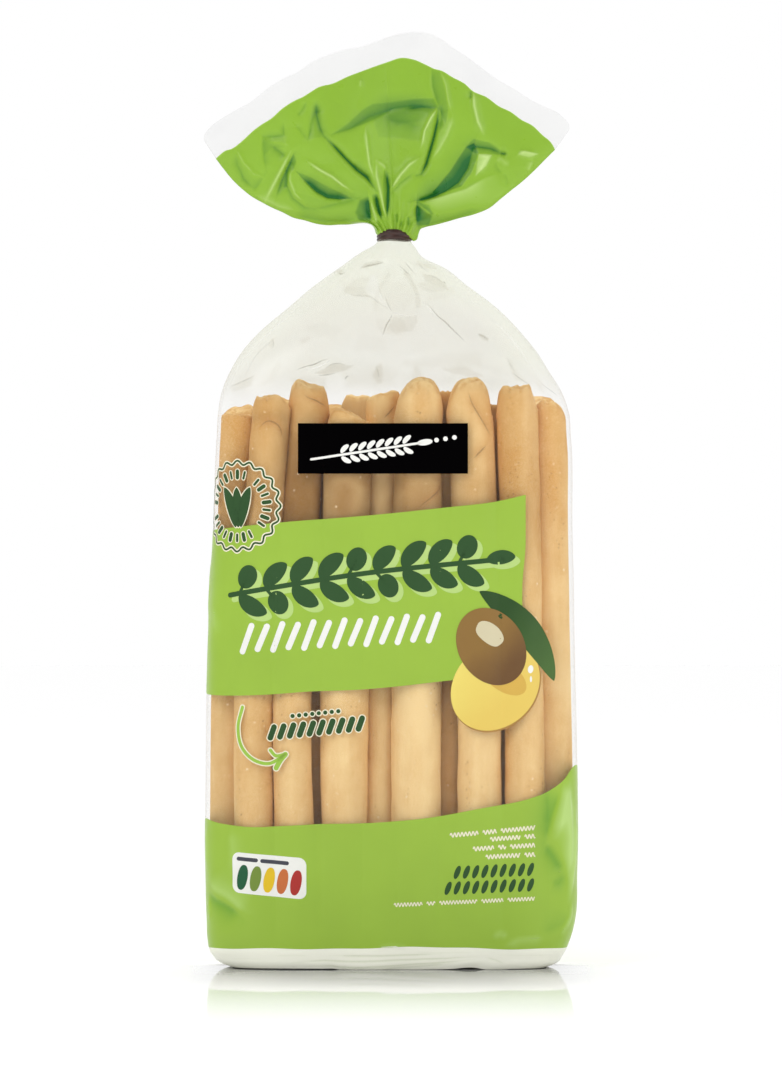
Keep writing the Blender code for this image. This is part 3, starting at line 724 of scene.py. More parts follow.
# Folds in the fan: a line, how deep it is from -1 on a ridge to 1 in the sharpest valley, and over what width
# that fades to the left and right of the line. Millimetres. The same depth paints shade into the ink in valleys
# and a highlight onto it on ridges.
FAN_FOLDS = (
    # the long hollow under the smooth upper part
    (
        ((-19.3, 269.0), (-13.1, 271.4), (-7.0, 275.3), (0.0, 277.7), (7.0, 278.7), (15.1, 277.9)),
        0.42, 1.9, 1.1,
    ),
    (((5.0, 277.8), (10.0, 278.3), (15.1, 277.8)), 0.5, 0.8, 0.3),
    (((-3.0, 274.3), (4.0, 273.6), (10.0, 271.0)), 0.32, 2.6, 2.6),
    (((-6.0, 279.9), (2.0, 280.5), (13.7, 280.5)), 0.16, 2, 2),
    # the left folds
    (
        ((-21.4, 268.4), (-18.1, 265.2), (-14.6, 261.4), (-11.1, 257.9), (-7.8, 255.4), (-4.7, 251.1)),
        1.35, 0.32, 0.24,
    ),
    (((-13.1, 260.0), (-9.6, 257.6), (-6.4, 254.6)), 0.4, 1.2, 0.3),
    (((-21.4, 268.4), (-22.9, 271.1), (-24.1, 275.7), (-24.3, 279.3)), 0.6, 0.5, 0.8),
    (((-23.5, 275.9), (-23.9, 277.5), (-24.3, 279.1)), 0.4, 0.6, 0.6),
    (((-26.6, 267.8), (-25.9, 272.6), (-24.7, 277.7)), 0.35, 0.35, 0.4),
    (((-12.7, 248.7), (-17.1, 248.7), (-20.6, 249.1), (-24.1, 251.1), (-29.1, 255.8)), 1.15, 0.22, 1.5),
    (((-26.9, 260.4), (-23.1, 257.8), (-19.1, 255.6), (-15.6, 252.8), (-12.6, 250.9)), -0.8, 0.3, 0.3),
    (((-32.4, 258.8), (-32.8, 254.6), (-31.1, 250.3), (-28.1, 247.1)), -0.4, 0.3, 0.3),
    (((-33.6, 257.6), (-33.8, 252.9), (-31.7, 248.7), (-28.1, 245.9), (-24.7, 245.1)), 0.42, 0.25, 0.9),
    (((-24.7, 245.1), (-19.1, 246.5), (-13.1, 247.9), (-9.5, 249.1)), 0.32, 0.25, 0.8),
    (((-37.2, 249.1), (-35.5, 254.1), (-33.5, 258.6), (-31.3, 263.2)), 0.78, 0.25, 0.75),
    (((-40.8, 247.9), (-38.0, 253.2), (-34.8, 259.2), (-32.4, 264.0)), -0.65, 0.4, 0.35),
    (((-50.2, 264.4), (-47.7, 260.1), (-44.2, 256.4)), -0.35, 0.35, 0.35),
    (((-50.4, 263.4), (-49.7, 259.6), (-47.7, 255.1), (-44.7, 252.0)), 0.36, 0.3, 1),
    (((-45.7, 257.1), (-42.2, 255.8), (-40.2, 255.4)), -0.25, 0.4, 0.8),
    (((-44.7, 250.9), (-42.2, 254.2), (-40.2, 257.2)), 0.25, 0.9, 0.4),
    (((-41.5, 269.1), (-41.4, 264.6), (-40.6, 258.6)), 0.32, 1.3, 0.22),
    (((-41.2, 268.8), (-37.2, 268.7), (-34.7, 269.2), (-34.8, 273.2)), 0.36, 0.9, 0.3),
    (((-38.8, 267.0), (-35.6, 266.6), (-32.8, 265.8)), -0.25, 0.4, 0.5),
    (((-38.6, 265.6), (-36.2, 264.0), (-34.0, 262.0)), 0.5, 0.5, 1),
    (((-30.5, 275.1), (-28.7, 277.1), (-27.3, 279.9)), 0.3, 0.35, 0.45),
    (((-30.9, 272.6), (-28.5, 269.2), (-26.9, 267.4)), 0.2, 0.8, 0.3),
    (((-9.8, 287.3), (-10.0, 284.7)), -0.35, 0.3, 0.3),
    # at the neck
    (((-8.4, 272.0), (-7.9, 266.6), (-7.0, 259.6), (-5.4, 254.6)), -0.6, 0.32, 0.32),
    (((-7.4, 248.9), (-7.2, 245.5), (-6.6, 241.4)), 1, 0.22, 1.7),
    (((-6.8, 248.1), (-5.6, 244.3), (-4.4, 240.1)), -0.5, 0.4, 0.4),
    (((-5.0, 249.9), (-4.4, 246.5), (-3.2, 242.3)), 1.25, 0.45, 0.35),
    (((-4.9, 260.8), (-4.6, 255.6), (-3.2, 249.5), (-2.4, 245.5), (-1.0, 240.9)), -0.6, 0.45, 0.35),
    (((-1.4, 258.2), (-0.9, 251.9), (-1.1, 246.5), (-1.3, 242.1)), 1.15, 0.5, 0.35),
    (((-4.6, 260.9), (-2.4, 259.2), (-1.2, 257.6)), -0.4, 0.35, 0.35),
    (((-0.2, 251.5), (3.0, 256.2), (6.0, 259.6), (9.0, 261.6)), -0.75, 0.32, 0.32),
    (((0.3, 250.5), (3.0, 253.6), (7.4, 257.0)), 0.35, 0.25, 0.5),
    (((1.8, 244.0), (2.0, 240.5)), 0.5, 0.3, 0.3),
    (((5.6, 243.0), (5.6, 239.7)), 0.55, 0.3, 0.3),
    (((3.4, 241.5), (3.1, 239.5)), 0.35, 0.3, 0.3),
    (((8.4, 247.1), (8.2, 244.0), (8.5, 240.5)), 1.1, 1.8, 0.2),
    (((8.6, 246.7), (10.6, 245.2), (13.1, 243.3)), -0.65, 0.25, 0.25),
    # the tall fold right of the middle
    (((14.9, 277.9), (12.7, 274.3), (10.9, 270.6), (10.2, 266.6), (9.7, 265.2)), -0.85, 0.3, 0.35),
    (
        ((15.4, 277.7), (15.0, 273.6), (13.9, 268.6), (12.5, 263.6),
         (11.5, 260.1), (9.9, 256.6), (8.4, 256.1)),
        1.4, 0.34, 0.3,
    ),
    (((16.3, 278.7), (16.4, 274.7), (15.7, 270.6)), 0.5, 1, 0.3),
    (((20.0, 275.7), (19.5, 273.0), (18.1, 269.2), (15.6, 264.6), (13.1, 261.2)), -0.5, 0.35, 0.7),
    (((13.1, 290.3), (13.5, 284.7), (15.3, 278.5)), 0.34, 1.4, 0.22),
    (((15.9, 290.3), (17.7, 285.7), (18.5, 280.7), (19.7, 276.3)), -0.4, 0.25, 0.25),
    (((26.6, 283.7), (26.9, 278.7), (28.1, 273.6), (29.9, 269.6)), -0.85, 0.5, 0.25),
    (((25.9, 283.7), (25.8, 280.9)), 0.6, 0.25, 0.3),
    # the wide valley and the roll on the right
    (
        ((8.4, 248.0), (12.1, 249.1), (17.1, 250.9), (21.6, 254.0), (24.5, 258.4), (26.7, 265.4)),
        0.95, 3.2, 0.2,
    ),
    (((8.4, 247.9), (12.1, 248.8), (16.1, 250.3)), 1.2, 0.5, 0.2),
    (((24.6, 265.8), (28.1, 265.4), (32.2, 264.8), (35.8, 263.3)), 0.68, 0.9, 0.3),
    (((35.4, 263.3), (36.4, 263.2), (37.4, 263.2)), 0.9, 0.4, 0.4),
    (((28.5, 262.6), (31.1, 262.0), (29.7, 259.2), (27.9, 256.8)), -0.55, 0.8, 0.8),
    (((33.2, 260.6), (35.6, 261.6), (38.2, 259.2)), -0.25, 0.8, 0.8),
    (((41.2, 263.0), (43.2, 263.9), (47.4, 263.0)), -0.5, 0.25, 1),
    (((45.8, 260.8), (44.4, 257.6)), -0.35, 0.3, 0.8),
    (((9.6, 247.5), (16.1, 248.9), (24.5, 251.5), (31.1, 255.6)), -0.42, 0.3, 2.4),
    (((36.6, 257.6), (37.6, 255.0), (37.8, 252.5)), 0.25, 0.6, 1.2),
    (((33.8, 263.0), (34.2, 259.0), (36.4, 256.0)), 0.2, 0.3, 1.2),
    # under both rolls
    (((9.0, 239.9), (20.1, 242.3), (30.1, 245.5)), 0.4, 2, 0.6),
    (((-32.2, 243.7), (-21.1, 241.3), (-9.0, 242.1)), 0.36, 1.6, 0.6),
    (((-44.2, 250.1), (-36.2, 246.1), (-30.1, 244.7)), -0.3, 1.1, 0.5),
)


# Patches of the fan that lie deeper, or higher, with a crisp edge, and that carry painted shade, or painted
# light, in the ink of its front: corners, depth and how soft the edge is. Millimetres.
FAN_FACETS = (
    (
        ((-19.1, 269.2), (-14.1, 272.6), (-9.4, 277.1), (-6.0, 279.3), (0.0, 279.9), (8.0, 280.9),
         (13.7, 281.1), (15.3, 277.9), (7.0, 278.7), (1.0, 277.9), (-6.0, 274.0), (-13.7, 270.8)),
        0.34, 0.35,
    ),
    (
        ((-5.6, 274.3), (1.0, 277.9), (7.0, 278.6), (14.5, 277.7), (11.5, 272.2), (9.8, 267.2),
         (3.0, 268.2), (-4.0, 268.6)),
        0.16, 0.6,
    ),
    (((-2.0, 275.3), (7.0, 278.1), (13.9, 277.5), (9.8, 273.8), (2.0, 272.6)), 0.16, 0.8),
    (((-27.1, 267.6), (-25.7, 272.2), (-24.5, 278.1), (-22.9, 272.0), (-21.5, 268.6)), 0.16, 0.2),
    (
        ((-34.8, 252.1), (-34.0, 257.6), (-31.6, 263.0), (-30.7, 260.6), (-31.6, 258.0),
         (-33.2, 257.0), (-33.6, 252.5)),
        0.3, 0.25,
    ),
    (
        ((-12.7, 248.6), (-17.1, 248.4), (-20.7, 248.7), (-23.9, 250.1), (-27.5, 253.4),
         (-30.7, 257.4), (-25.7, 255.2), (-20.1, 252.1), (-15.5, 250.1)),
        0.3, 0.3,
    ),
    (
        ((-9.6, 248.9), (-15.1, 247.6), (-20.1, 246.3), (-25.1, 245.1), (-29.1, 247.5), (-31.8, 251.1),
         (-27.7, 250.1), (-23.1, 248.3), (-17.1, 248.1)),
        0.1, 0.3,
    ),
    (
        ((-7.4, 249.1), (-10.0, 248.1), (-11.5, 244.1), (-10.2, 241.4), (-6.7, 241.4), (-6.4, 244.7)),
        0.42, 0.5,
    ),
    (((-6.2, 249.7), (-4.4, 250.1), (-3.0, 243.5), (-2.9, 241.9), (-5.0, 245.1)), 0.3, 0.2),
    (
        ((-2.0, 258.4), (-0.5, 252.5), (-0.5, 248.1), (-1.3, 242.5), (-2.4, 248.1), (-2.6, 253.6)),
        0.35, 0.25,
    ),
    (
        ((13.6, 250.7), (19.1, 257.4), (24.3, 265.4), (26.9, 266.5), (28.3, 263.2), (26.1, 257.2),
         (22.7, 252.6), (15.3, 250.1)),
        0.52, 0.3,
    ),
    (
        ((24.3, 265.4), (26.7, 268.0), (31.8, 266.8), (35.8, 263.8), (35.0, 262.8), (30.1, 263.4),
         (27.1, 263.4)),
        0.3, 0.25,
    ),
    (((8.3, 247.7), (12.3, 246.5), (13.5, 243.7), (12.3, 240.1), (8.4, 240.1)), 0.42, 0.3),
    (((28.3, 263.1), (32.6, 262.8), (30.9, 259.4), (27.4, 256.0)), -0.42, 0.2),
    (((41.2, 263.0), (42.2, 264.2), (47.8, 263.2), (44.8, 262.0)), -0.3, 0.2),
    (
        ((13.1, 290.5), (13.6, 284.7), (15.3, 278.7), (17.7, 272.6), (18.5, 277.7), (17.5, 284.7),
         (15.9, 290.1)),
        0.2, 0.25,
    ),
    (
        ((12.5, 273.6), (14.9, 277.9), (14.9, 273.2), (13.5, 267.6), (11.3, 262.6), (10.7, 267.0)),
        -0.1, 0.25,
    ),
    (((-41.4, 268.8), (-35.0, 269.0), (-34.0, 265.2), (-38.2, 265.0), (-41.0, 263.0)), 0.14, 0.3),
    (((-50.2, 264.0), (-46.2, 258.6), (-41.6, 255.2), (-44.2, 251.7), (-48.2, 255.0)), 0.12, 0.35),
    (
        ((9.8, 247.7), (16.1, 249.3), (24.1, 251.9), (33.6, 256.6), (38.2, 257.6), (40.2, 252.9),
         (32.2, 246.9), (20.1, 244.1), (14.1, 243.7)),
        -0.1, 0.5,
    ),
)


def spaced(line, share):
    """Points at shares of the length of a line of (x, z) points, in metres."""
    line = np.array(line) * MM
    along = np.append(0.0, np.cumsum(np.linalg.norm(np.diff(line, axis=0), axis=1)))
    at = np.clip(share, 0.0, 1.0) * along[-1]
    return np.stack([curve(np.stack([along, axis], axis=1), at) for axis in line.T], axis=-1)


def fan_outline(u):
    """Where the fan's print lies on the flat fan, from the tie to the print's edge, and the clear
    margin from there to the free edge. u runs from -1 on the left to 1 on the right."""
    start = (np.stack([NECK_START[0] + NECK_HALF[0] * u, NECK_START[1] + 0 * u], axis=1)) * MM
    print_edge, free_edge = spaced(PRINT_EDGE, (u + 1) / 2), spaced(FAN_EDGE, (u + 1) / 2)
    share = np.linspace(0.0, 1.0, PRINT_ROWS + 1)
    low = start + (print_edge - start) * share[:, None, None]
    for sign, line in ((-1, FAN_LOW_LEFT), (1, FAN_LOW_RIGHT)):
        first, last = np.array(line[0]) * MM, np.array(line[-1]) * MM
        sag = spaced(line, share) - (first + (last - first) * share[:, None])
        low = low + sag[:, None, :] * (np.clip(sign * u, 0.0, 1.0) ** 3)[None, :, None]
    share = np.linspace(0.0, 1.0, MARGIN_ROWS + 1)[1:]
    high = print_edge + (free_edge - print_edge) * share[:, None, None]
    return np.concatenate([low, high])


def fan_grid():
    """Points of the fan from the tie to its free edge, and how deep in a fold each is. The rings
    start at the right corner and run by the back to the left corner and along the front."""
    back = 1 - 2 * (np.arange(FAN_BACK_COLUMNS) + 0.5) / FAN_BACK_COLUMNS
    front = -1 + 2 * (np.arange(FAN_FRONT_COLUMNS) + 0.5) / FAN_FRONT_COLUMNS
    u = np.append(back, front)
    face = np.append(np.ones(len(back)), -np.ones(len(front)))
    flat = fan_outline(u)
    x, z = flat[..., 0], flat[..., 1]
    low = np.linspace(0.0, 0.88, PRINT_ROWS + 1)
    v = np.append(low, np.linspace(0.88, 1.0, MARGIN_ROWS + 1)[1:])[:, None]

    lens = np.sqrt(np.maximum(1 - u * u, 0.0))
    thick = NECK_HALF[1] * MM * (1 - ease(v, 0.0, 0.7)) + FAN_MOUTH * ease(v, 0.1, 0.7)
    thick = thick + FAN_BELLY * np.sin(np.pi * v) * np.abs(u) ** 0.5
    wave = sum(deep * np.sin(waves * u + phase) for waves, phase, deep in FAN_WAVES)
    shift = MM * wave * ease(v, 0.1, 0.6) * (1 - 0.5 * np.abs(u))
    gathers = np.cos(24 * u + 2.0 * noise(np.stack([3 * u, 0 * u], axis=1), 31))
    shift = shift + 0.5 * MM * gathers * ease(v, 0.0, 0.06) * (1 - ease(v, 0.06, 0.26))
    spot = np.stack([x, face * 5 * MM + 0 * x, z], axis=-1)
    rough = dents(spot / (9 * MM), 41) - 0.35
    fine = dents(spot / (4 * MM), 43) - 0.35
    uneven = (0.5 * rough + 0.12 * fine) * (0.35 + 0.65 * ease(-u, -0.1, 0.6))
    shift = shift + MM * lens * ease(v, 0.06, 0.3) * uneven
    fold = fold_field(x / MM, z / MM, FAN_FOLDS, 0.1)
    patches = sum(facet(x / MM, z / MM, *patch) for patch in FAN_FACETS)
    wider = [(line, deep, left + 0.3, right + 0.3) for line, deep, left, right in FAN_FOLDS]
    bend = fold_field(x / MM, z / MM, wider, 0.45) + 0.4 * patches
    # On the front the patches also paint shade and light into the ink.
    fold = fold + np.where(face < 0, patches, 0.0)
    fold = fold + lens * (0.08 * noise(spot / (12 * MM), 47) + 0.08 * uneven)
    in_print = 1 - ease(v, 0.84, 0.97)
    y = TIE_MIDDLE[1] + face * thick * lens + shift + FAN_FOLD_DEPTH * bend * in_print
    return np.stack([x, y, z], axis=-1), fold


def make_fan(ink, clear):
    """The printed part of the fan, and the clear margin above it."""
    points, fold = fan_grid()
    columns = points.shape[1]
    low, high = points[: PRINT_ROWS + 1], points[PRINT_ROWS:]
    ink_fold = fold[: PRINT_ROWS + 1].copy()
    ink_fold[-1] -= 0.6
    faces = grid_faces(len(low), columns, True)
    new_piece("fan_print", low, faces, ink, values={"fold": ink_fold})
    cloud = noise(high / (7 * MM), 53)
    haze = 0.10 + 0.05 * np.abs(fold[PRINT_ROWS:]) + 0.02 * cloud
    faces = grid_faces(len(high), columns, True)
    values = {"haze": haze, "tinge": np.zeros(high.shape[:2])}
    new_piece("fan_margin", high, faces, clear, values=values)


# ---------------------------------------------------------------- the tie

TIE_AROUND = 140
TIE_WINDINGS = 2
TIE_DEPTH = 0.7 * MM
TIE_HALF = (5.75, 5.2)
# Middle height and half height of the band, from its left end to its right one. Millimetres.
TIE_LEVELS = ((-4.7, 235.9), (-3.0, 236.6), (-0.5, 236.95), (2.5, 236.8), (5.0, 236.2), (6.9, 235.8))
TIE_HALF_HEIGHTS = ((-4.7, 1.15), (-3.0, 1.5), (0.0, 1.72), (3.0, 1.68), (5.5, 1.2), (6.9, 0.85))


def make_tie(material):
    """A flat brown band wound round the neck, with the windings showing as low ridges."""
    turn = np.arange(TIE_AROUND) / TIE_AROUND * 2 * np.pi
    section = np.linspace(0.0, 2 * np.pi, 41)[:-1]
    rise = np.sign(np.sin(section)) * np.abs(np.sin(section)) ** 0.55
    out = np.sign(np.cos(section)) * np.abs(np.cos(section)) ** 0.45
    ridge = 0.14 * MM * np.cos(np.pi * TIE_WINDINGS * rise + np.pi)
    ring = []
    for angle in turn:
        way = np.array((np.cos(angle), np.sin(angle)))
        across = (0.5 * out - 0.5) * TIE_DEPTH + np.where(out > 0.5, ridge, 0.0)
        spot = np.stack([3 * way[0] + 0 * rise, 3 * way[1] + 0 * rise, 1.6 * rise], axis=1)
        across = across + 0.07 * MM * noise(spot, 17)
        reach = (np.array(TIE_HALF) * MM - 0.15 * MM)[None, :] + across[:, None]
        flat = np.array((NECK_START[0] * MM, TIE_MIDDLE[1])) + reach * way
        place = flat[:, 0] / MM
        level = curve(TIE_LEVELS, place) + curve(TIE_HALF_HEIGHTS, place) * rise
        ring.append(np.column_stack([flat, level * MM]))
    points = np.array(ring).transpose(1, 0, 2)
    points = np.concatenate([points, points[:1]])
    faces = grid_faces(len(points), TIE_AROUND, True)
    new_piece("tie_band", points, faces, material, node="tie")


# ---------------------------------------------------------------- the sticks


def stick_profile(length, tip, cut, rows):
    """Heights and radius shares of a stick's rings, from the middle of its foot over its sides
    to the middle of its top. Millimetres."""
    foot_cap, foot_cut = 5.0, 0.55
    bend = np.linspace(0.0, 1.0, 9)[1:]
    foot = [(0.0, foot_cut * share) for share in (0.02, 0.4, 0.8)]
    foot += [(foot_cap * t * t, foot_cut + (1 - foot_cut) * (1 - (1 - t) ** 2) ** 0.5) for t in bend]
    sides = [(h, 1.0) for h in np.linspace(foot_cap, length - tip, rows)[1:]]
    rise = 1 - (1 - np.linspace(0.0, 1.0, 27)[1:]) ** 1.5
    cap = [(length - tip * (1 - t), cut + (1 - cut) * (1 - t**2.4) ** 0.72) for t in rise]
    top = [(length - 0.1, cut * share) for share in (0.94, 0.86, 0.76, 0.64, 0.5, 0.36, 0.2, 0.02)]
    heights, shares = np.array(foot + sides + cap + top).T
    return heights, shares


def film_half(outline, height, column):
    """A column of the bag's outline at some heights, all in millimetres."""
    return curve(outline[:, [0, column]] / MM, height)


def keep_inside(outline, x, y, z):
    """Points of a stick, pressed in where they would come through the film. Millimetres."""
    left, right, depth = (film_half(outline, z, i) for i in (1, 2, 3))
    middle, half = (left + right) / 2, (right - left) / 2 - FILM_GAP
    x = middle + np.clip(x - middle, -0.985 * half, 0.985 * half)
    room = (1 - (np.abs(x - middle) / half) ** BODY_SQUARENESS) ** (1 / BODY_SQUARENESS)
    room = room * (depth - FILM_GAP)
    return x, np.clip(y, -room, room)


def crust_creases(name, radius, turn, height):
    """The open lines of a stick's creases, and the lips beside them, at each place of its skin.
    Millimetres and radians."""
    groove, lip = np.zeros(turn.shape), np.zeros(turn.shape)
    for marks in CRUST_CREASES.get(name, ()):
        line = [(radius * np.radians(a), h) for h, a in zip(marks[::2], marks[1::2])]
        groove = np.maximum(groove, crease(radius * turn, height, line, 1.0, 0.9, 0.9, soft=0.5))
        lip = np.maximum(lip, crease(radius * turn, height, line, 1.0, 2.4, 0.5))
    return groove, lip


def shape_tip(name, top, x, y, height):
    """Heights of a stick's skin, drawn in so that its end has the outline in TIPS. x is the
    place from the left, and y from the stick's middle to the front. Millimetres."""
    if name not in TIPS:
        return height
    drop, outline = TIPS[name]
    low = min(level for _, level in outline) - 6.0
    end = curve(outline, x) - drop * (y / 7.0) ** 2
    return np.where(height > low, low + (end - low) * (height - low) / (top - low), height)


def make_stick(outline, name, x_way, y_way, radii, top, tip, cut, slope, brown, material):
    """One baked stick: uneven, oval, tapered to a ragged broken tip, with creases in its crust."""
    seed = sum(ord(letter) * (i + 3) for i, letter in enumerate(name))
    rng = np.random.default_rng(seed)
    shown = y_way[1] < -4
    heights, shares = stick_profile(top - FOOT_HEIGHT, tip, cut, 128 if shown else 52)
    around = 80 if shown else 36
    turn = np.arange(around) / around * 2 * np.pi
    h, a = heights[:, None] + FOOT_HEIGHT, turn[None, :]
    radius = stick_way(radii, h)
    share = shares[:, None]
    skin = np.stack([radius * np.cos(a), radius * np.sin(a), h + 0 * a], axis=-1)
    offset = rng.uniform(0, 90, 3)
    swell = 0.03 * noise((skin * (0, 0, 1) + offset) / 30.0, seed)
    oval = 0.03 * np.cos(2 * (a - rng.uniform(0, np.pi)))
    lumps = 0.20 * noise((skin + offset) / (8.5, 8.5, 13.0), seed + 1)
    lumps += 0.14 * noise((skin + offset) / (3.2, 3.2, 5.5), seed + 2)
    blister = 0.09 * np.maximum(noise((skin + offset) / (1.8, 1.8, 2.4), seed + 3) - 0.25, 0.0)
    pocks = -0.16 * np.maximum(noise((skin + offset) / (1.5, 1.5, 1.9), seed + 4) - 0.55, 0.0)
    groove, lip = crust_creases(name, radii[1], a + 0 * h, h + 0 * a)
    r = radius * share * (1 + swell + oval)
    r = r + (lumps + blister + pocks) * np.minimum(share * 1.6, 1.0)
    r = np.maximum(r - 0.26 * groove + 0.22 * lip, 0.02)
    across = np.stack([r * np.cos(a), r * np.sin(a), 0 * r], axis=-1) + offset
    chips = 0.46 * noise(across / 2.0, seed + 5) + 0.40 * noise(across / 0.8, seed + 6)
    rim = np.exp(-np.maximum(top - h, 0.0) / 0.9)
    slant = (slope[0] * r * np.cos(a) - slope[1] * r * np.sin(a)) * ease(h, top - 1.6 * tip, top)
    x = stick_way(x_way, h) + r * np.cos(a)
    level = shape_tip(name, top, x, r * np.sin(a), h + 0 * a)
    level = level + slant + rim * chips * np.minimum(share / cut, 1.0) ** 0.3
    y = stick_way(y_way, h) + r * np.sin(a)
    x, y = keep_inside(outline, x, y, level)
    points = np.stack([x, y, level], axis=-1) * MM
    toast = brown + 0.30 * ease(h, 118.0, 172.0) + 0.22 * noise((skin + offset) / (9, 9, 26), seed + 7)
    toast = toast + 0.18 * lip - 0.35 * rim * (chips > 0.05) + 0.45 * rim * (chips < -0.12)
    crumb = rim * (0.5 + 0.5 * noise(across / 0.8, seed + 8))
    # Painted shade where the stick lies in shadow under the print and beside its neighbours.
    dark = curve(CRUST_PAINTED_SHADE[name], h) if name in CRUST_PAINTED_SHADE else 0.0 * h
    dark = np.maximum(dark, 0.0) * (1 + CRUST_PAINTED_SHADE_SIDES.get(name, 0.0) * np.cos(a))
    dark = dark * (1 + 0.3 * noise((skin + offset) / (6, 6, 18), seed + 9))
    values = {"toast": np.clip(toast, 0, 1), "groove": groove, "crumb": crumb, "dark": dark}
    faces = grid_faces(len(heights), len(turn), True)
    new_piece(name, points, faces, material, values=values)
    return points, heights + FOOT_HEIGHT


def crease_ribbons(name, points, heights, radius):
    """The creases of one stick's crust, as ribbons of painted shade on it."""
    normals = grid_normals(points)
    ribbons = []
    for marks in CRUST_CREASES.get(name, ()):
        line = [(radius * np.radians(a), h) for h, a in zip(marks[::2], marks[1::2])]
        flat, strength, faces = ribbon(line, 1.0, 0.3, 0.42)
        row = np.interp(flat[..., 1], heights, np.arange(len(heights)))
        column = flat[..., 0] / (2 * np.pi * radius) * points.shape[1]
        spot = read_grid(points + 0.06 * MM * normals, row, column)
        ribbons.append((spot.reshape(-1, 3), strength.ravel(), faces))
    return ribbons


def read_grid(grid, row, column):
    """Values between a grid's rows and columns, which close into rings."""
    low, left = np.floor(row).astype(int), np.floor(column).astype(int)
    low = np.clip(low, 0, len(grid) - 2)
    up, along = (row - low)[..., None], (column - left)[..., None]
    left, right = left % grid.shape[1], (left + 1) % grid.shape[1]
    lower = grid[low, left] * (1 - along) + grid[low, right] * along
    upper = grid[low + 1, left] * (1 - along) + grid[low + 1, right] * along
    return lower * (1 - up) + upper * up


def make_sticks(material, groove_material):
    outline = bag_outline()
    ribbons = []
    for stick in STICKS:
        points, heights = make_stick(outline, *stick, material)
        ribbons += crease_ribbons(stick[0], points, heights, stick[3][1])
    counts = np.cumsum([0] + [len(points) for points, _, _ in ribbons])
    faces = [quads + start for (_, _, quads), start in zip(ribbons, counts)]
    points, marks = (np.concatenate([part[i] for part in ribbons]) for i in (0, 1))
    faces = np.concatenate(faces)
    new_piece("crust_creases", points, faces, groove_material, values={"mark": marks})


# ---------------------------------------------------------------- the print

BAND_LIFT = 0.06 * MM
PALE_LIFT = 0.10 * MM
DARK_LIFT = 0.14 * MM
TOP_LIFT = 0.18 * MM
# Edges of the printed bands: place round the film from the middle of the front, and height.
FOOT_BAND_LOW = 6.7
FOOT_BAND_TOP = (
    (-160, 52.0), (-130, 48.0), (-110, 46.0), (-84, 45.0), (-72, 47.4), (-66, 48.4), (-56, 46.8),
    (-46, 45.9), (-35, 46.3), (-23, 46.9), (-8, 47.2), (0, 47.7), (15, 49.3), (28, 51.7),
    (45, 55.0), (52, 57.4), (57, 60.6), (61, 64.6), (66, 65.6), (74, 63.0), (84, 58.0), (104, 54.0),
    (130, 52.0), (160, 52.0),
)
LABEL_LEFT, LABEL_RIGHT = -200.0, 43.3
LABEL_TOP = (
    (-200, 141.0), (-160, 138.0), (-110, 134.0), (-90, 136.0), (-76, 139.2), (-66, 141.0),
    (-57, 141.7), (-36, 143.7), (-6, 146.1), (18, 148.6), (34, 150.5), (43.3, 152.6),
)
LABEL_LOW = (
    (-200, 95.0), (-160, 94.0), (-110, 94.0), (-90, 92.5), (-76, 90.0), (-66, 88.6), (-55, 88.1),
    (-40, 88.4), (-26, 89.4), (-7, 90.2), (0, 90.8), (18, 92.8), (43.3, 95.4),
)


def strip(line, half, cross=5):
    """A flat shape about a line of (place, height) points, half its own width at each."""
    line = np.array(line, float)
    way = np.gradient(line, axis=0)
    way = way / np.maximum(np.linalg.norm(way, axis=1, keepdims=True), 1e-9)
    side = np.stack([-way[:, 1], way[:, 0]], axis=1)
    share = np.linspace(1.0, -1.0, cross)
    points = line[:, None, :] + side[:, None, :] * (np.array(half)[:, None] * share)[..., None]
    return points, grid_faces(len(line), cross, False)[:, ::-1]


def stroke(points, half, grow=0.0, count=40):
    """A line of even width with round ends."""
    line = smooth_line(points, count)
    half = half + grow
    first = (line[0] - line[1]) / np.linalg.norm(line[0] - line[1])
    last = (line[-1] - line[-2]) / np.linalg.norm(line[-1] - line[-2])
    turn = np.linspace(0.0, np.pi / 2, 9)
    ahead = line[0] + first * (half * np.cos(turn[:-1]))[:, None]
    behind = line[-1] + last * (half * np.sin(turn[1:]))[:, None]
    widths = np.concatenate([half * np.sin(turn[:-1]), np.full(count, half), half * np.cos(turn[1:])])
    return strip(np.concatenate([ahead, line, behind]), np.maximum(widths, 1e-4))


def blade(start, end, half, bow=0.0, grow=0.0, blunt=1.0, count=26):
    """A leaf shape from start to end. bow curves it, and blunt above 1 rounds its ends."""
    start, end = np.array(start, float), np.array(end, float)
    way = (end - start) / np.linalg.norm(end - start)
    start, end = start - way * grow, end + way * grow
    side = np.array((-way[1], way[0]))
    share = 0.5 - 0.5 * np.cos(np.linspace(0, np.pi, count))
    line = start + (end - start) * share[:, None] + side * (bow * 4 * share * (1 - share))[:, None]
    width = (half + grow) * np.maximum(4 * share * (1 - share), 0) ** (0.75 / blunt)
    return strip(line, np.maximum(width, 1e-4))


def oval(middle, half_long, half_wide, tilt, grow=0.0, count=40, cross=15):
    """An ellipse. tilt is its long axis's angle above the horizontal, in degrees."""
    way = np.array((np.cos(np.radians(tilt)), np.sin(np.radians(tilt))))
    share = -np.cos(np.linspace(0, np.pi, count))
    line = np.array(middle) + way * ((half_long + grow) * share)[:, None]
    width = (half_wide + grow) * np.sqrt(np.maximum(1 - share**2, 0))
    return strip(line, np.maximum(width, 1e-4), cross)


def ring(middle, radius, half, waves=0, depth=0.0, grow=0.0):
    """A closed line about a middle point, wavy if it has waves."""
    turn = np.linspace(0, 2 * np.pi, 361)
    reach = radius + depth * np.cos(waves * turn)
    line = np.array(middle) + np.stack([reach * np.cos(turn), reach * np.sin(turn)], axis=1)
    return strip(line, np.full(len(turn), half + grow), 3)


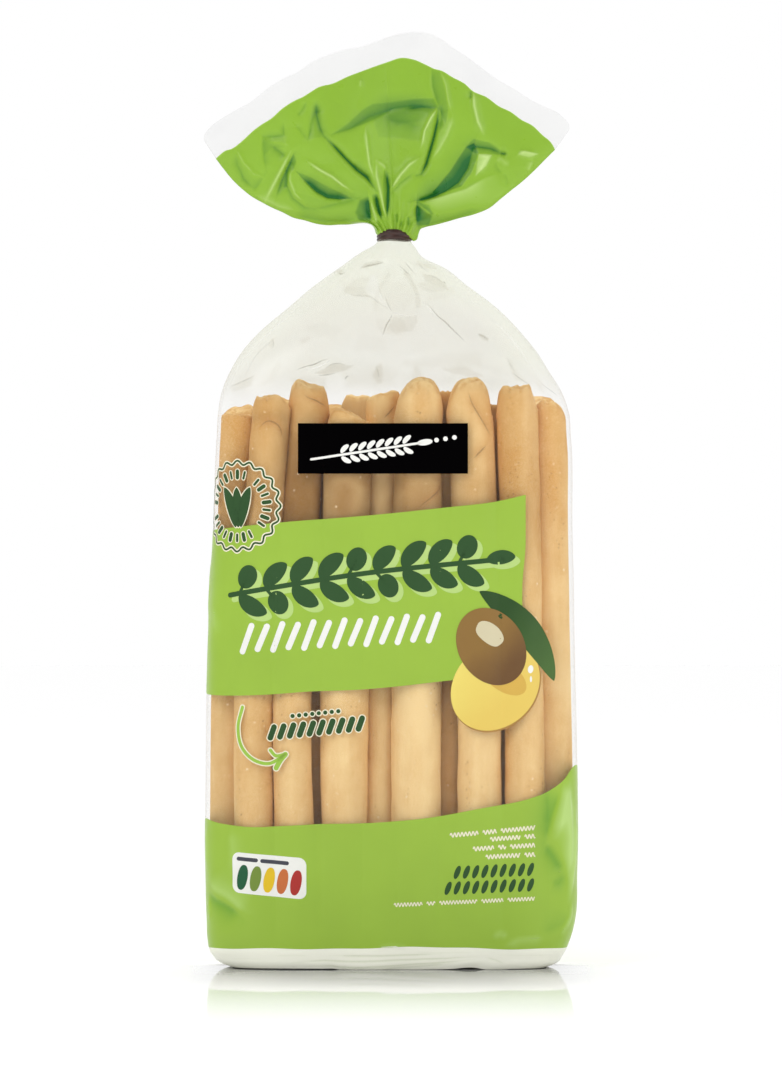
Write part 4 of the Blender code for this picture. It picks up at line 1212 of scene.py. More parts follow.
def panel(corners, bend=0.6, cross=25, count=50):
    """A four-cornered field with slightly rounded corners: lower left, lower right, upper right
    and upper left."""
    low_left, low_right, high_right, high_left = (np.array(c, float) for c in corners)
    u = 0.5 - 0.5 * np.cos(np.linspace(0, np.pi, count))
    low = low_left + (low_right - low_left) * u[:, None]
    high = high_left + (high_right - high_left) * u[:, None]
    width = np.linalg.norm(low_right - low_left)
    edge = np.minimum(u, 1 - u) * width
    inset = bend - np.sqrt(np.maximum(bend**2 - (bend - np.minimum(edge, bend)) ** 2, 0))
    tall = np.linalg.norm(high - low, axis=1)
    keep = (inset / tall)[:, None]
    low, high = low + (high - low) * keep, high + (low - high) * keep
    share = np.linspace(0, 1, cross)
    points = low[:, None] + (high - low)[:, None] * share[None, :, None]
    return points, grid_faces(count, cross, False)[:, ::-1]


def shift(shapes, way):
    return [(points + np.array(way), faces) for points, faces in shapes]


def print_piece(film, name, shapes, lift, material):
    """Lays flat shapes on the film as one printed piece."""
    points, folds, faces, count = [], [], [], 0
    for flat, quads in shapes:
        flat = flat.reshape(-1, 2)
        points.append(on_film(film, flat[:, 0], flat[:, 1], lift))
        folds.append(read_film(film, "fold", flat[:, 0], flat[:, 1]))
        faces.append(quads + count)
        count += len(flat)
    points, folds, faces = (np.concatenate(parts) for parts in (points, folds, faces))
    new_piece(name, points, faces, material, values={"fold": folds})


def lay_field(film, name, place, height, lift, closed, material, lines=()):
    """Lays a grid of places and heights on the film as one printed piece. lines are fine folds
    of its own."""
    line = fold_field(place, height, lines, 0.1) + 0.0 * place
    points = on_film(film, place, height, lift - 0.1 * MM * line[..., None])
    values = {"fold": read_film(film, "fold", place, height) + line}
    faces = grid_faces(*points.shape[:2], closed)
    new_piece(name, points, faces, material, values=values)


def all_round(film, height):
    """Places round the whole film at each height."""
    around = np.interp(height * MM, film["heights"], film["round"]) / MM
    middle = np.interp(height * MM, film["heights"], film["middle"]) / MM
    return film_shares() * around + middle


def make_bands(film, inks):
    """The green band round the foot, the pale hem under it and the green label."""
    place = film_shares() * 312.0
    low = FOOT_BAND_LOW + 0.6 * np.exp(-(((place - 8.0) / 26.0) ** 2))
    low = low + 0.15 * np.sin(place / 9.0) + 0.12 * np.sin(place / 3.7)
    high = curve(FOOT_BAND_TOP, place)
    height = low + (high - low) * np.linspace(0.0, 1.0, 52)[:, None]
    lay_field(film, "band_foot", all_round(film, height), height, BAND_LIFT, True, inks["green"])
    height = 0.05 + (low + 0.3 - 0.05) * np.linspace(0.0, 1.0, 36)[:, None]
    place, lift = all_round(film, height), 0.5 * BAND_LIFT
    lay_field(film, "band_hem", place, height, lift, True, inks["hem"], HEM_LINES)

    share = np.linspace(0.0, 1.0, 270)
    rough_place = LABEL_LEFT + (LABEL_RIGHT - LABEL_LEFT) * share
    low, high = curve(LABEL_LOW, rough_place), curve(LABEL_TOP, rough_place)
    height = low + (high - low) * np.linspace(0.0, 1.0, 64)[:, None]
    right = LABEL_RIGHT - 1.1 * (1 - ease(height, 122.0, 138.0))
    place = LABEL_LEFT + (right - LABEL_LEFT) * share
    lay_field(film, "band_label", place, height, BAND_LIFT, False, inks["green"])


def wheat(foot, tip, kernels, size, grow=0.0):
    """An ear: pairs of kernels along a stalk."""
    foot, tip = np.array(foot, float), np.array(tip, float)
    way = (tip - foot) / np.linalg.norm(tip - foot)
    side = np.array((-way[1], way[0]))
    shapes = [stroke((foot, tip), 0.13 * size, grow)]
    for i in range(kernels):
        root = foot + (tip - foot) * (0.28 + 0.66 * i / kernels)
        for sign in (-1, 1):
            end = root + way * size * 0.95 + side * sign * size * 0.95
            start = root + side * sign * size * 0.20
            shapes.append(blade(start, end, size * 0.27, sign * 0.10 * size, grow, 1.6))
    shapes.append(blade(tip - way * size * 0.2, tip + way * size * 1.5, size * 0.34, 0, grow, 1.6))
    return shapes


def branch(grow=0.0):
    """A bold olive branch that fills the label's upper part, rising to the right."""
    foot, tip = np.array((-52.6, 120.4)), np.array((36.0, 132.0))
    way = (tip - foot) / np.linalg.norm(tip - foot)
    side = np.array((-way[1], way[0]))
    bend = [foot, foot + (tip - foot) * 0.5 + side * 1.2, tip]
    line = smooth_line(bend, 101)
    shapes = [stroke(bend, 0.8, grow, 80)]
    for i in range(9):
        root = line[4 + 10 * i]
        for sign in (-1, 1):
            if (i + (sign > 0)) % 4 == 1:
                spot = root + side * sign * 4.9 + way * 3.4
                shapes.append(stroke((root, spot), 0.5, grow, 12))
                shapes.append(oval(spot, 3.9, 3.2, 65 * sign, grow, 30, 9))
            else:
                end = root + way * (8.3 - 0.5 * (i % 3)) + side * sign * (7.4 - 0.4 * (i % 2))
                shapes.append(blade(root + side * sign * 0.4, end, 2.75, 0.9 * sign, grow, 1.2))
    shapes.append(blade(line[94], line[94] + way * 9.4, 2.3, 0.5, grow, 1.2))
    return shapes


def white_sticks():
    """A row of thick white strokes under the branch, all leaning the same way."""
    shapes = []
    for i in range(13):
        middle = np.array((-46.4 + 5.0 * i, 106.4 + 0.30 * i))
        tall = 4.1 - 0.5 * (i % 2)
        shapes.append(stroke((middle - (1.5, tall), middle + (1.5, tall)), 0.98, 0, 14))
    return shapes


def scribble(right, height, lengths, tall, half, slope, gap=1.5):
    """A line of short wavy strokes that ends at right, in the place of small print."""
    shapes, at = [], right
    for length in reversed(lengths):
        share = np.linspace(0.0, 1.0, int(length * 14))
        x = at - length * (1 - share)
        wave = tall * np.sin(2 * np.pi * share * length / (1.9 * tall))
        line = np.stack([x, height + wave + slope * (x - right)], axis=1)
        shapes.append(strip(line, np.full(len(line), half), 3))
        at -= length + gap
    return shapes


def kernels(right, height, count, step, tall, half, slope):
    """A row of slanted kernels that ends at right."""
    shapes = []
    for i in range(count):
        x = right - step * i
        level = height + slope * (x - right)
        shapes.append(blade((x - 0.8, level - tall), (x + 0.8, level + tall), half, 0, 0, 1.7))
    return shapes


def arrow(grow=0.0):
    """The bent arrow under the label."""
    bend = ((-47.9, 84.4), (-49.4, 78.0), (-48.0, 71.4), (-43.6, 67.2), (-39.4, 66.3), (-35.2, 68.2))
    shapes = [stroke(bend, 0.52, grow, 60)]
    shapes.append(stroke(((-38.8, 70.6), (-37.2, 68.9), (-34.2, 69.2)), 0.52, grow, 20))
    shapes.append(stroke(((-36.9, 64.9), (-35.6, 67.2), (-33.9, 69.3)), 0.78, grow, 20))
    return shapes


def leaning_sticks(grow=0.0):
    """Small motifs beside the arrow: a row of dots over a row of short thick sticks."""
    shapes = []
    for i in range(8):
        shapes.append(oval((-31.6 + 2.1 * i, 81.6 + 0.22 * i), 0.68, 0.68, 0, grow, 18, 7))
    for i in range(10):
        x, level = -38.2 + 3.15 * i, 74.6 + 0.32 * i
        shapes.append(stroke(((x - 0.6, level), (x + 0.6, level + 3.4)), 0.92, grow, 12))
    return shapes


BADGE_MIDDLE = np.array((-50.1, 149.0))


def badge(grow=0.0):
    """A scalloped ring with a ring of dashes and an ear of wheat in it."""
    shapes = [ring(BADGE_MIDDLE, 14.0, 0.30, 20, 0.62, grow)]
    for i in range(26):
        turn = 2 * np.pi * (i + 0.5) / 26
        way = np.array((np.cos(turn), np.sin(turn)))
        if i % 9 != 4:
            ends = (BADGE_MIDDLE + way * 9.2, BADGE_MIDDLE + way * 11.2)
            shapes.append(stroke(ends, 0.40 if i % 2 else 0.62, grow * 0.8, 8))
    for lean in (-1, 0, 1):
        foot, end = BADGE_MIDDLE + (0.4 + lean, -6.8), BADGE_MIDDLE + (-0.4 + 5.0 * lean, 6.0)
        shapes.append(blade(foot, end, 1.9, 0.8 * lean, grow, 1.1))
    return shapes


def print_label(film, inks):
    """The dark panel, the badge and the motifs on the label."""
    dark_panel = panel(((-29.9, 159.4), (24.7, 159.4), (24.7, 175.6), (-29.9, 175.6)), 0.05)
    print_piece(film, "print_panel", [dark_panel], BAND_LIFT, inks["black"])
    chalk = wheat((-25.6, 164.0), (9.0, 169.2), 8, 2.9)
    chalk += [oval((14.6 + 2.9 * i, 170.2 + 0.42 * i), 0.75, 0.75, 0, 0, 20, 7) for i in range(3)]
    print_piece(film, "print_chalk", chalk, DARK_LIFT, inks["white"])

    print_piece(film, "print_badge_edge", badge(0.40), PALE_LIFT, inks["cream"])
    print_piece(film, "print_badge", badge(), DARK_LIFT, inks["dark"])

    shadow = shift(branch(0.1), (1.5, -1.4))
    print_piece(film, "print_branch_shadow", shadow, PALE_LIFT, inks["pale"])
    print_piece(film, "print_branch", branch(), DARK_LIFT, inks["dark"])
    print_piece(film, "print_white_sticks", white_sticks(), PALE_LIFT, inks["white"])

    print_piece(film, "print_arrow_edge", arrow(0.38) + leaning_sticks(0.34), PALE_LIFT, inks["cream"])
    print_piece(film, "print_arrow", arrow(), DARK_LIFT, inks["bright"])
    print_piece(film, "print_sticks", leaning_sticks(), DARK_LIFT, inks["dark"])


def print_olive(film, inks):
    """An olive with a leaf before a round of oil."""
    shade = oval((33.9, 90.9), 15.9, 13.1, 45, 0, 60, 31)
    print_piece(film, "print_oil_edge", [shade], PALE_LIFT, inks["oil_edge"])
    oil = oval((33.6, 91.3), 15.7, 13.0, 45, 0, 60, 31)
    print_piece(film, "print_oil", [oil], DARK_LIFT, inks["oil"])
    under = oval((36.0, 94.4), 8.6, 4.6, -35, 0, 60, 31)
    print_piece(film, "print_oil_shade", [under], DARK_LIFT + 0.03 * MM, inks["oil_shade"])
    leaf = blade((28.4, 121.6), (53.2, 92.8), 4.5, 3.6, 0, 1.0, 50)
    print_piece(film, "print_leaf", [leaf], TOP_LIFT, inks["leaf"])
    fruit = oval((32.2, 103.9), 13.1, 10.5, -58, 0, 60, 31)
    print_piece(film, "print_olive", [fruit], TOP_LIFT + 0.04 * MM, inks["olive"])
    shine = blade((27.6, 110.6), (35.2, 104.6), 3.1, 0.6, 0, 2.2)
    print_piece(film, "print_shine", [shine], TOP_LIFT + 0.08 * MM, inks["shine"])
    glint = [oval((44.9, 96.6), 1.3, 0.9, 80, 0, 20, 7), oval((45.0, 93.4), 1.0, 0.35, 90, 0, 16, 5)]
    print_piece(film, "print_glint", glint, TOP_LIFT, inks["white"])


def print_foot(film, inks):
    """What is printed on the foot band: a white plate of small coloured sticks, and small print."""
    plate = panel(((-51.4, 24.9), (-27.2, 22.6), (-27.2, 35.9), (-51.4, 37.9)), 2.4)
    print_piece(film, "print_plate", [plate], PALE_LIFT, inks["white"])
    notes = [stroke(((-49.2, 35.7), (-43.4, 35.2)), 0.62, 0, 12)]
    notes.append(stroke(((-41.4, 35.0), (-33.4, 34.3)), 0.62, 0, 12))
    print_piece(film, "print_plate_notes", notes, DARK_LIFT, inks["grey"])
    for i, colour in enumerate(("plate_green", "plate_olive", "plate_gold", "plate_clay", "plate_red")):
        x, level = -47.9 + 4.35 * i, 29.7 - 0.42 * i
        shape = blade((x - 0.7, level - 4.0), (x + 0.7, level + 4.0), 1.75, 0, 0, 1.8)
        print_piece(film, f"print_{colour}", [shape], DARK_LIFT, inks[colour])

    small = scribble(46.4, 45.7, (9.0, 4.4, 11.0), 0.62, 0.21, 0.09)
    small += scribble(46.4, 43.0, (9.6, 3.4), 0.62, 0.21, 0.07)
    small += scribble(46.4, 40.1, (6.6, 2.4, 8.0), 0.62, 0.21, 0.06)
    small += scribble(46.4, 37.1, (11.0, 3.4), 0.62, 0.21, 0.05)
    small += scribble(46.2, 22.9, (9.0, 2.6, 12.0, 7.0, 8.6), 0.55, 0.17, 0.045)
    print_piece(film, "print_small", small, PALE_LIFT, inks["cream"])
    bold = kernels(44.9, 32.3, 9, 2.95, 2.1, 0.86, 0.04)
    bold += kernels(44.9, 27.3, 10, 2.95, 2.1, 0.86, 0.04)
    print_piece(film, "print_bold", bold, PALE_LIFT, inks["dark"])


def make_print(film, inks):
    print_label(film, inks)
    print_olive(film, inks)
    print_foot(film, inks)


# ---------------------------------------------------------------- materials

# How much of the film's haze is milky. The rest only dims what comes through.
MILK_SHARE = 0.45


def tree_of(name):
    material = bpy.data.materials.new(name)
    material.use_nodes = True
    material.node_tree.nodes.clear()
    return material, material.node_tree


def add(tree, kind, inputs=None, **settings):
    """A shader node with its settings and inputs. An input is a plain value or another socket."""
    made = tree.nodes.new("ShaderNode" + kind)
    for key, value in settings.items():
        setattr(made, key, value)
    for key, value in (inputs or {}).items():
        if isinstance(value, bpy.types.NodeSocket):
            tree.links.new(value, made.inputs[key])
        else:
            made.inputs[key].default_value = value
    return made


def spread(tree, socket, low, high, to_low=0.0, to_high=1.0):
    """A socket's range low to high, brought to another range and held there."""
    values = {"Value": socket, "From Min": low, "From Max": high, "To Min": to_low, "To Max": to_high}
    return add(tree, "MapRange", values).outputs[0]


def maths(tree, operation, first, second):
    return add(tree, "Math", {0: first, 1: second}, operation=operation).outputs[0]


def blend_colours(tree, share, first, second, mode="MIX"):
    made = add(tree, "Mix", data_type="RGBA", blend_type=mode)
    for key, value in ((0, share), (6, first), (7, second)):
        if isinstance(value, bpy.types.NodeSocket):
            tree.links.new(value, made.inputs[key])
        else:
            made.inputs[key].default_value = value
    return made.outputs[2]


def rgb(red, green, blue):
    """A colour as seen, from 0 to 255, as the shader takes it."""
    seen = np.array((red, green, blue)) / 255
    linear = np.where(seen <= 0.04045, seen / 12.92, ((seen + 0.055) / 1.055) ** 2.4)
    return (*linear.tolist(), 1.0)


def film_material(name, milk, pane, shine_low, shine_high):
    """Clear film: see-through, a little hazy, and glossy at a slant, with painted shade in its folds and painted
    highlight on its ridges. milk and pane are the colours of its haze and of what comes through it, where it is
    plain and where green-tinged."""
    material, tree = tree_of(name)
    place = add(tree, "TexCoord").outputs["Object"]
    wrinkle = add(tree, "TexNoise", {"Vector": place, "Scale": 150.0, "Detail": 3.0}).outputs["Fac"]
    bump = add(tree, "Bump", {"Height": wrinkle, "Strength": 0.10, "Distance": 0.0006}).outputs[0]
    haze = add(tree, "Attribute", attribute_name="haze").outputs["Fac"]
    tinge = add(tree, "Attribute", attribute_name="tinge").outputs["Fac"]
    fold = add(tree, "Attribute", attribute_name="fold").outputs["Fac"]
    facing = add(tree, "LayerWeight", {"Blend": 0.5}).outputs["Facing"]
    slant = maths(tree, "POWER", facing, 3.0)
    cloud = add(tree, "TexNoise", {"Vector": place, "Scale": 55.0, "Detail": 4.0}).outputs["Fac"]
    haze = maths(tree, "MULTIPLY", haze, spread(tree, cloud, 0.3, 0.7, 0.85, 1.15))
    # Painted shade in folds and painted highlight on ridges.
    valley = spread(tree, fold, 0.03, 1.0, 0.0, 0.7)
    ridge = spread(tree, fold, -0.05, -0.7, 0.0, 0.8)

    through = blend_colours(tree, tinge, *pane)
    through = blend_colours(tree, spread(tree, haze, 0.035, 0.18), (0.985, 0.985, 0.98, 1.0), through)
    through = blend_colours(tree, valley, through, (0.66, 0.62, 0.52, 1.0))
    through = blend_colours(tree, ridge, through, (0.985, 0.985, 0.975, 1.0))
    clear = add(tree, "BsdfTransparent", {"Color": through})

    tint = blend_colours(tree, tinge, *milk)
    tint = blend_colours(tree, valley, tint, rgb(170, 164, 150))
    tint = blend_colours(tree, ridge, tint, rgb(254, 254, 250))
    milky = add(tree, "BsdfPrincipled", {"Base Color": tint})
    milky.inputs["Roughness"].default_value = 0.35
    milky.inputs["Specular IOR Level"].default_value = 0.4
    milkiness = maths(tree, "MULTIPLY", haze, MILK_SHARE)
    milkiness = maths(tree, "ADD", milkiness, maths(tree, "MULTIPLY", slant, 0.12))
    body = add(tree, "MixShader", {0: milkiness, 1: clear.outputs[0], 2: milky.outputs[0]})
    gloss = add(tree, "BsdfGlossy", {"Roughness": 0.24, "Normal": bump})
    shine = maths(tree, "POWER", facing, 5.0)
    shine = spread(tree, shine, 0.0, 1.0, shine_low, shine_high)
    skin = add(tree, "MixShader", {0: shine, 1: body.outputs[0], 2: gloss.outputs[0]})
    add(tree, "OutputMaterial", {"Surface": skin.outputs[0]})
    return material


def ink_material(name, colour, valley=None, ridge=None, roughness=0.34, gloss=0.32):
    """Ink under glossy film: even, a little cloudy, with painted shade in folds and painted highlight on ridges.
    """
    material, tree = tree_of(name)
    place = add(tree, "TexCoord").outputs["Object"]
    fold = add(tree, "Attribute", attribute_name="fold").outputs["Fac"]
    cloud = add(tree, "TexNoise", {"Vector": place, "Scale": 38.0, "Detail": 3.0}).outputs["Fac"]
    cloudy = tuple(0.93 * part for part in colour[:3]) + (1.0,)
    valley = valley or tuple(0.6 * part for part in colour[:3]) + (1.0,)
    ridge = ridge or colour
    shade = blend_colours(tree, spread(tree, cloud, 0.35, 0.75), colour, cloudy)
    # Painted shade in folds and painted highlight on ridges.
    shade = blend_colours(tree, spread(tree, fold, 0.04, 1.1), shade, valley)
    shade = blend_colours(tree, spread(tree, fold, -0.05, -0.9), shade, ridge)
    wrinkle = add(tree, "TexNoise", {"Vector": place, "Scale": 210.0, "Detail": 3.0}).outputs["Fac"]
    bump = add(tree, "Bump", {"Height": wrinkle, "Strength": 0.08, "Distance": 0.0005}).outputs[0]
    rough = spread(tree, wrinkle, 0.2, 0.8, roughness - 0.05, roughness + 0.08)
    surface = add(tree, "BsdfPrincipled", {"Base Color": shade, "Roughness": rough, "Normal": bump})
    surface.inputs["Specular IOR Level"].default_value = gloss
    add(tree, "OutputMaterial", {"Surface": surface.outputs[0]})
    return material


def shaded_ink(name, light, dark, low, high):
    """Ink that goes from light to dark along the diagonal down to the right. low and high say
    where, in metres of x - z."""
    material, tree = tree_of(name)
    place = add(tree, "TexCoord").outputs["Object"]
    axes = add(tree, "SeparateXYZ", {0: place}).outputs
    along = maths(tree, "SUBTRACT", axes["X"], axes["Z"])
    cloud = add(tree, "TexNoise", {"Vector": place, "Scale": 90.0, "Detail": 3.0}).outputs["Fac"]
    along = maths(tree, "ADD", along, spread(tree, cloud, 0.0, 1.0, -0.006, 0.006))
    shade = blend_colours(tree, spread(tree, along, low, high), light, dark)
    wrinkle = add(tree, "TexNoise", {"Vector": place, "Scale": 210.0, "Detail": 3.0}).outputs["Fac"]
    bump = add(tree, "Bump", {"Height": wrinkle, "Strength": 0.08, "Distance": 0.0005}).outputs[0]
    surface = add(tree, "BsdfPrincipled", {"Base Color": shade, "Normal": bump})
    surface.inputs["Roughness"].default_value = 0.36
    surface.inputs["Specular IOR Level"].default_value = 0.32
    add(tree, "OutputMaterial", {"Surface": surface.outputs[0]})
    return material


def mark_material(name, colour, strength):
    """A thin mark that fades out to its edges."""
    material, tree = tree_of(name)
    mark = add(tree, "Attribute", attribute_name="mark").outputs["Fac"]
    place = add(tree, "TexCoord").outputs["Object"]
    cloud = add(tree, "TexNoise", {"Vector": place, "Scale": 700.0, "Detail": 2.0}).outputs["Fac"]
    mark = maths(tree, "MULTIPLY", mark, spread(tree, cloud, 0.3, 0.7, 0.7, 1.1))
    share = spread(tree, mark, 0.0, 1.0, 0.0, strength)
    clear = add(tree, "BsdfTransparent", {"Color": (1.0, 1.0, 1.0, 1.0)})
    solid = add(tree, "BsdfPrincipled", {"Base Color": colour})
    solid.inputs["Roughness"].default_value = 0.5
    surface = add(tree, "MixShader", {0: share, 1: clear.outputs[0], 2: solid.outputs[0]})
    add(tree, "OutputMaterial", {"Surface": surface.outputs[0]})
    return material


def crust_material():
    """Baked crust: pale gold, browner where it is toasted, with pores, fine cracks and flour, and painted shade
    where the stick lies in shadow and along its creases.
    """
    material, tree = tree_of("baked_crust")
    place = add(tree, "TexCoord").outputs["Object"]
    toast = add(tree, "Attribute", attribute_name="toast").outputs["Fac"]
    groove = add(tree, "Attribute", attribute_name="groove").outputs["Fac"]
    crumb = add(tree, "Attribute", attribute_name="crumb").outputs["Fac"]
    stretch = add(tree, "Mapping", {"Vector": place, "Scale": (1.0, 1.0, 0.16)}).outputs[0]
    streaks = add(tree, "TexNoise", {"Vector": stretch, "Scale": 190.0, "Detail": 3.0}).outputs["Fac"]
    patches = add(tree, "TexNoise", {"Vector": place, "Scale": 130.0, "Detail": 4.0}).outputs["Fac"]
    grain = add(tree, "TexNoise", {"Vector": place, "Scale": 1500.0, "Detail": 3.0}).outputs["Fac"]
    pore_cell = add(tree, "TexVoronoi", {"Vector": place, "Scale": 560.0}).outputs["Distance"]
    pore_dot = spread(tree, pore_cell, 0.12, 0.26, 1.0, 0.0)
    pore = maths(tree, "MULTIPLY", pore_dot, spread(tree, streaks, 0.53, 0.66))
    fleck = add(tree, "TexVoronoi", {"Vector": place, "Scale": 330.0}).outputs["Distance"]
    fleck = spread(tree, fleck, 0.08, 0.2, 1.0, 0.0)
    fleck = maths(tree, "MULTIPLY", fleck, spread(tree, patches, 0.53, 0.60))
    warm = maths(tree, "ADD", toast, spread(tree, streaks, 0.3, 0.7, -0.16, 0.20))
    warm = maths(tree, "ADD", warm, spread(tree, patches, 0.3, 0.7, -0.12, 0.16))
    shade = blend_colours(tree, spread(tree, warm, 0.0, 1.0), rgb(251, 218, 157), rgb(220, 168, 97))
    shade = blend_colours(tree, spread(tree, grain, 0.5, 0.75, 0.0, 0.22), shade, rgb(250, 222, 176))
    # Painted shade: the crust goes dark brown where the stick lies in shadow.
    dark = add(tree, "Attribute", attribute_name="dark").outputs["Fac"]
    dark = maths(tree, "MULTIPLY", dark, spread(tree, patches, 0.3, 0.7, 0.6, 0.76))
    shade = blend_colours(tree, spread(tree, dark, 0.0, 1.0), shade, rgb(158, 116, 62))
    shade = blend_colours(tree, maths(tree, "MULTIPLY", pore, 0.42), shade, rgb(150, 100, 56))
    shade = blend_colours(tree, maths(tree, "MULTIPLY", fleck, 0.6), shade, rgb(252, 230, 190))
    # Painted shade along the crust's creases.
    shade = blend_colours(tree, maths(tree, "MULTIPLY", groove, 0.35), shade, rgb(176, 122, 70))
    shade = blend_colours(tree, spread(tree, crumb, 0.55, 0.9, 0.0, 0.55), shade, rgb(250, 224, 172))
    relief = maths(tree, "SUBTRACT", maths(tree, "MULTIPLY", grain, 0.5), pore)
    bump = add(tree, "Bump", {"Height": relief, "Strength": 0.35, "Distance": 0.0003}).outputs[0]
    rough = spread(tree, patches, 0.2, 0.8, 0.66, 0.84)
    surface = add(tree, "BsdfPrincipled", {"Base Color": shade, "Roughness": rough, "Normal": bump})
    surface.inputs["Specular IOR Level"].default_value = 0.25
    add(tree, "OutputMaterial", {"Surface": surface.outputs[0]})
    return material


def tie_material():
    """Dark brown plastic band, glossy and lightly scuffed."""
    material, tree = tree_of("brown_band")
    place = add(tree, "TexCoord").outputs["Object"]
    squash = add(tree, "Mapping", {"Vector": place, "Scale": (1.0, 1.0, 5.0)}).outputs[0]
    streak = add(tree, "TexNoise", {"Vector": squash, "Scale": 240.0, "Detail": 4.0}).outputs["Fac"]
    shade = blend_colours(tree, spread(tree, streak, 0.3, 0.7), rgb(40, 20, 15), rgb(68, 38, 28))
    bump = add(tree, "Bump", {"Height": streak, "Strength": 0.3, "Distance": 0.0002}).outputs[0]
    rough = spread(tree, streak, 0.2, 0.8, 0.34, 0.52)
    surface = add(tree, "BsdfPrincipled", {"Base Color": shade, "Roughness": rough, "Normal": bump})
    add(tree, "OutputMaterial", {"Surface": surface.outputs[0]})
    return material


def make_inks():
    # The valley colours are painted shade and the ridge colours painted highlight, for the green inks and the
    # hem's.
    green_fold_shade, green_ridge_highlight = rgb(104, 160, 52), rgb(184, 216, 124)
    fan_fold_shade, fan_ridge_highlight = rgb(30, 104, 40), rgb(192, 220, 134)
    return {
        "green": ink_material("green_ink", rgb(157, 193, 66), green_fold_shade, green_ridge_highlight),
        "fan": ink_material("fan_ink", rgb(141, 183, 55), fan_fold_shade, fan_ridge_highlight, 0.30, 0.28),
        "dark": ink_material("dark_green_ink", rgb(52, 86, 48), gloss=0.2),
        "pale": ink_material("pale_green_ink", rgb(186, 216, 128)),
        "bright": ink_material("bright_green_ink", rgb(158, 200, 76)),
        "white": ink_material("white_ink", rgb(244, 244, 238)),
        "hem": ink_material("hem_ink", rgb(255, 255, 240), rgb(222, 228, 200), rgb(255, 255, 248)),
        "cream": ink_material("cream_ink", rgb(246, 240, 212)),
        "grey": ink_material("grey_ink", rgb(70, 72, 82)),
        "black": ink_material("black_ink", rgb(1, 0, 1), roughness=0.5, gloss=0.02),
        "plate_green": ink_material("plate_green_ink", rgb(26, 92, 58)),
        "plate_olive": ink_material("plate_olive_ink", rgb(120, 146, 60)),
        "plate_gold": ink_material("plate_gold_ink", rgb(234, 196, 36)),
        "plate_clay": ink_material("plate_clay_ink", rgb(204, 112, 58)),
        "plate_red": ink_material("plate_red_ink", rgb(178, 50, 44)),
        "oil": shaded_ink("oil_ink", rgb(238, 218, 112), rgb(232, 202, 100), -0.072, -0.050),
        "oil_edge": ink_material("oil_edge_ink", rgb(176, 132, 70)),
        "oil_shade": ink_material("oil_shade_ink", rgb(218, 178, 82)),
        "leaf": shaded_ink("leaf_ink", rgb(44, 78, 34), rgb(74, 108, 50), -0.078, -0.046),
        "olive": shaded_ink("olive_ink", rgb(144, 110, 56), rgb(112, 80, 46), -0.076, -0.058),
        "shine": ink_material("shine_ink", rgb(216, 206, 172)),
    }


# ---------------------------------------------------------------- stage

VIEW_HEIGHT = 348.4 * MM
VIEW_MIDDLE = 138.1 * MM
CAMERA_DISTANCE = 2.5
FACING_PLANE = -12.0 * MM
SENSOR = 36.0
WORLD_LIGHT = 0.61
WORLD_GLOSS = 0.12
SUN_LIGHT = 1.28
FLOOR_GLOSS = 0.9
GLOSS_REACH = 0.42


def make_floor():
    mesh = bpy.data.meshes.new("floor")
    half = 6.0
    corners = [(-half, -half, 0), (half, -half, 0), (half, half, 0), (-half, half, 0)]
    mesh.from_pydata(corners, [], [(0, 1, 2, 3)])
    floor = bpy.data.objects.new("floor", mesh)
    bpy.context.scene.collection.objects.link(floor)
    material, tree = tree_of("pale_floor")
    place = add(tree, "TexCoord").outputs["Object"]
    axes = add(tree, "SeparateXYZ", {0: place}).outputs
    aside = add(tree, "Math", {0: axes["X"]}, operation="ABSOLUTE").outputs[0]
    near = maths(tree, "POWER", spread(tree, axes["Y"], -GLOSS_REACH, 0.0), 1.55)
    near = maths(tree, "MULTIPLY", near, spread(tree, axes["Y"], 0.02, 0.0))
    near = maths(tree, "MULTIPLY", near, spread(tree, aside, 0.074, 0.062))
    near = maths(tree, "MULTIPLY", near, FLOOR_GLOSS)
    # Painted shadow: a soft darker strip on the floor, and in its reflection, just in front of the bag.
    painted_shadow = spread(tree, axes["Y"], -0.13, -0.085)
    painted_shadow = maths(tree, "MULTIPLY", painted_shadow, spread(tree, aside, 0.066, 0.034))
    matt = blend_colours(tree, painted_shadow, (1.0, 1.0, 1.0, 1.0), (0.95, 0.95, 0.96, 1.0))
    glossy = blend_colours(tree, painted_shadow, (1.0, 1.0, 1.0, 1.0), (0.73, 0.73, 0.74, 1.0))
    matt = add(tree, "BsdfDiffuse", {"Color": matt})
    gloss = add(tree, "BsdfGlossy", {"Color": glossy, "Roughness": 0.03})
    surface = add(tree, "MixShader", {0: near, 1: matt.outputs[0], 2: gloss.outputs[0]})
    add(tree, "OutputMaterial", {"Surface": surface.outputs[0]})
    mesh.materials.append(material)
    floor.location.z = -0.05 * MM


def make_light(name, place, size, power, aim=(0.0, 0.0, 0.14)):
    lamp = bpy.data.lights.new(name, "AREA")
    lamp.size = size
    lamp.energy = power
    light = bpy.data.objects.new(name, lamp)
    light.location = place
    light.rotation_euler = (Vector(aim) - Vector(place)).to_track_quat("-Z", "Y").to_euler()
    bpy.context.scene.collection.objects.link(light)


def make_sun():
    """Even light from above that reaches all of the floor."""
    lamp = bpy.data.lights.new("sun", "SUN")
    lamp.energy = SUN_LIGHT
    lamp.angle = np.radians(24.0)
    light = bpy.data.objects.new("sun", lamp)
    light.rotation_euler = (np.radians(-20.0), 0.0, 0.0)
    bpy.context.scene.collection.objects.link(light)


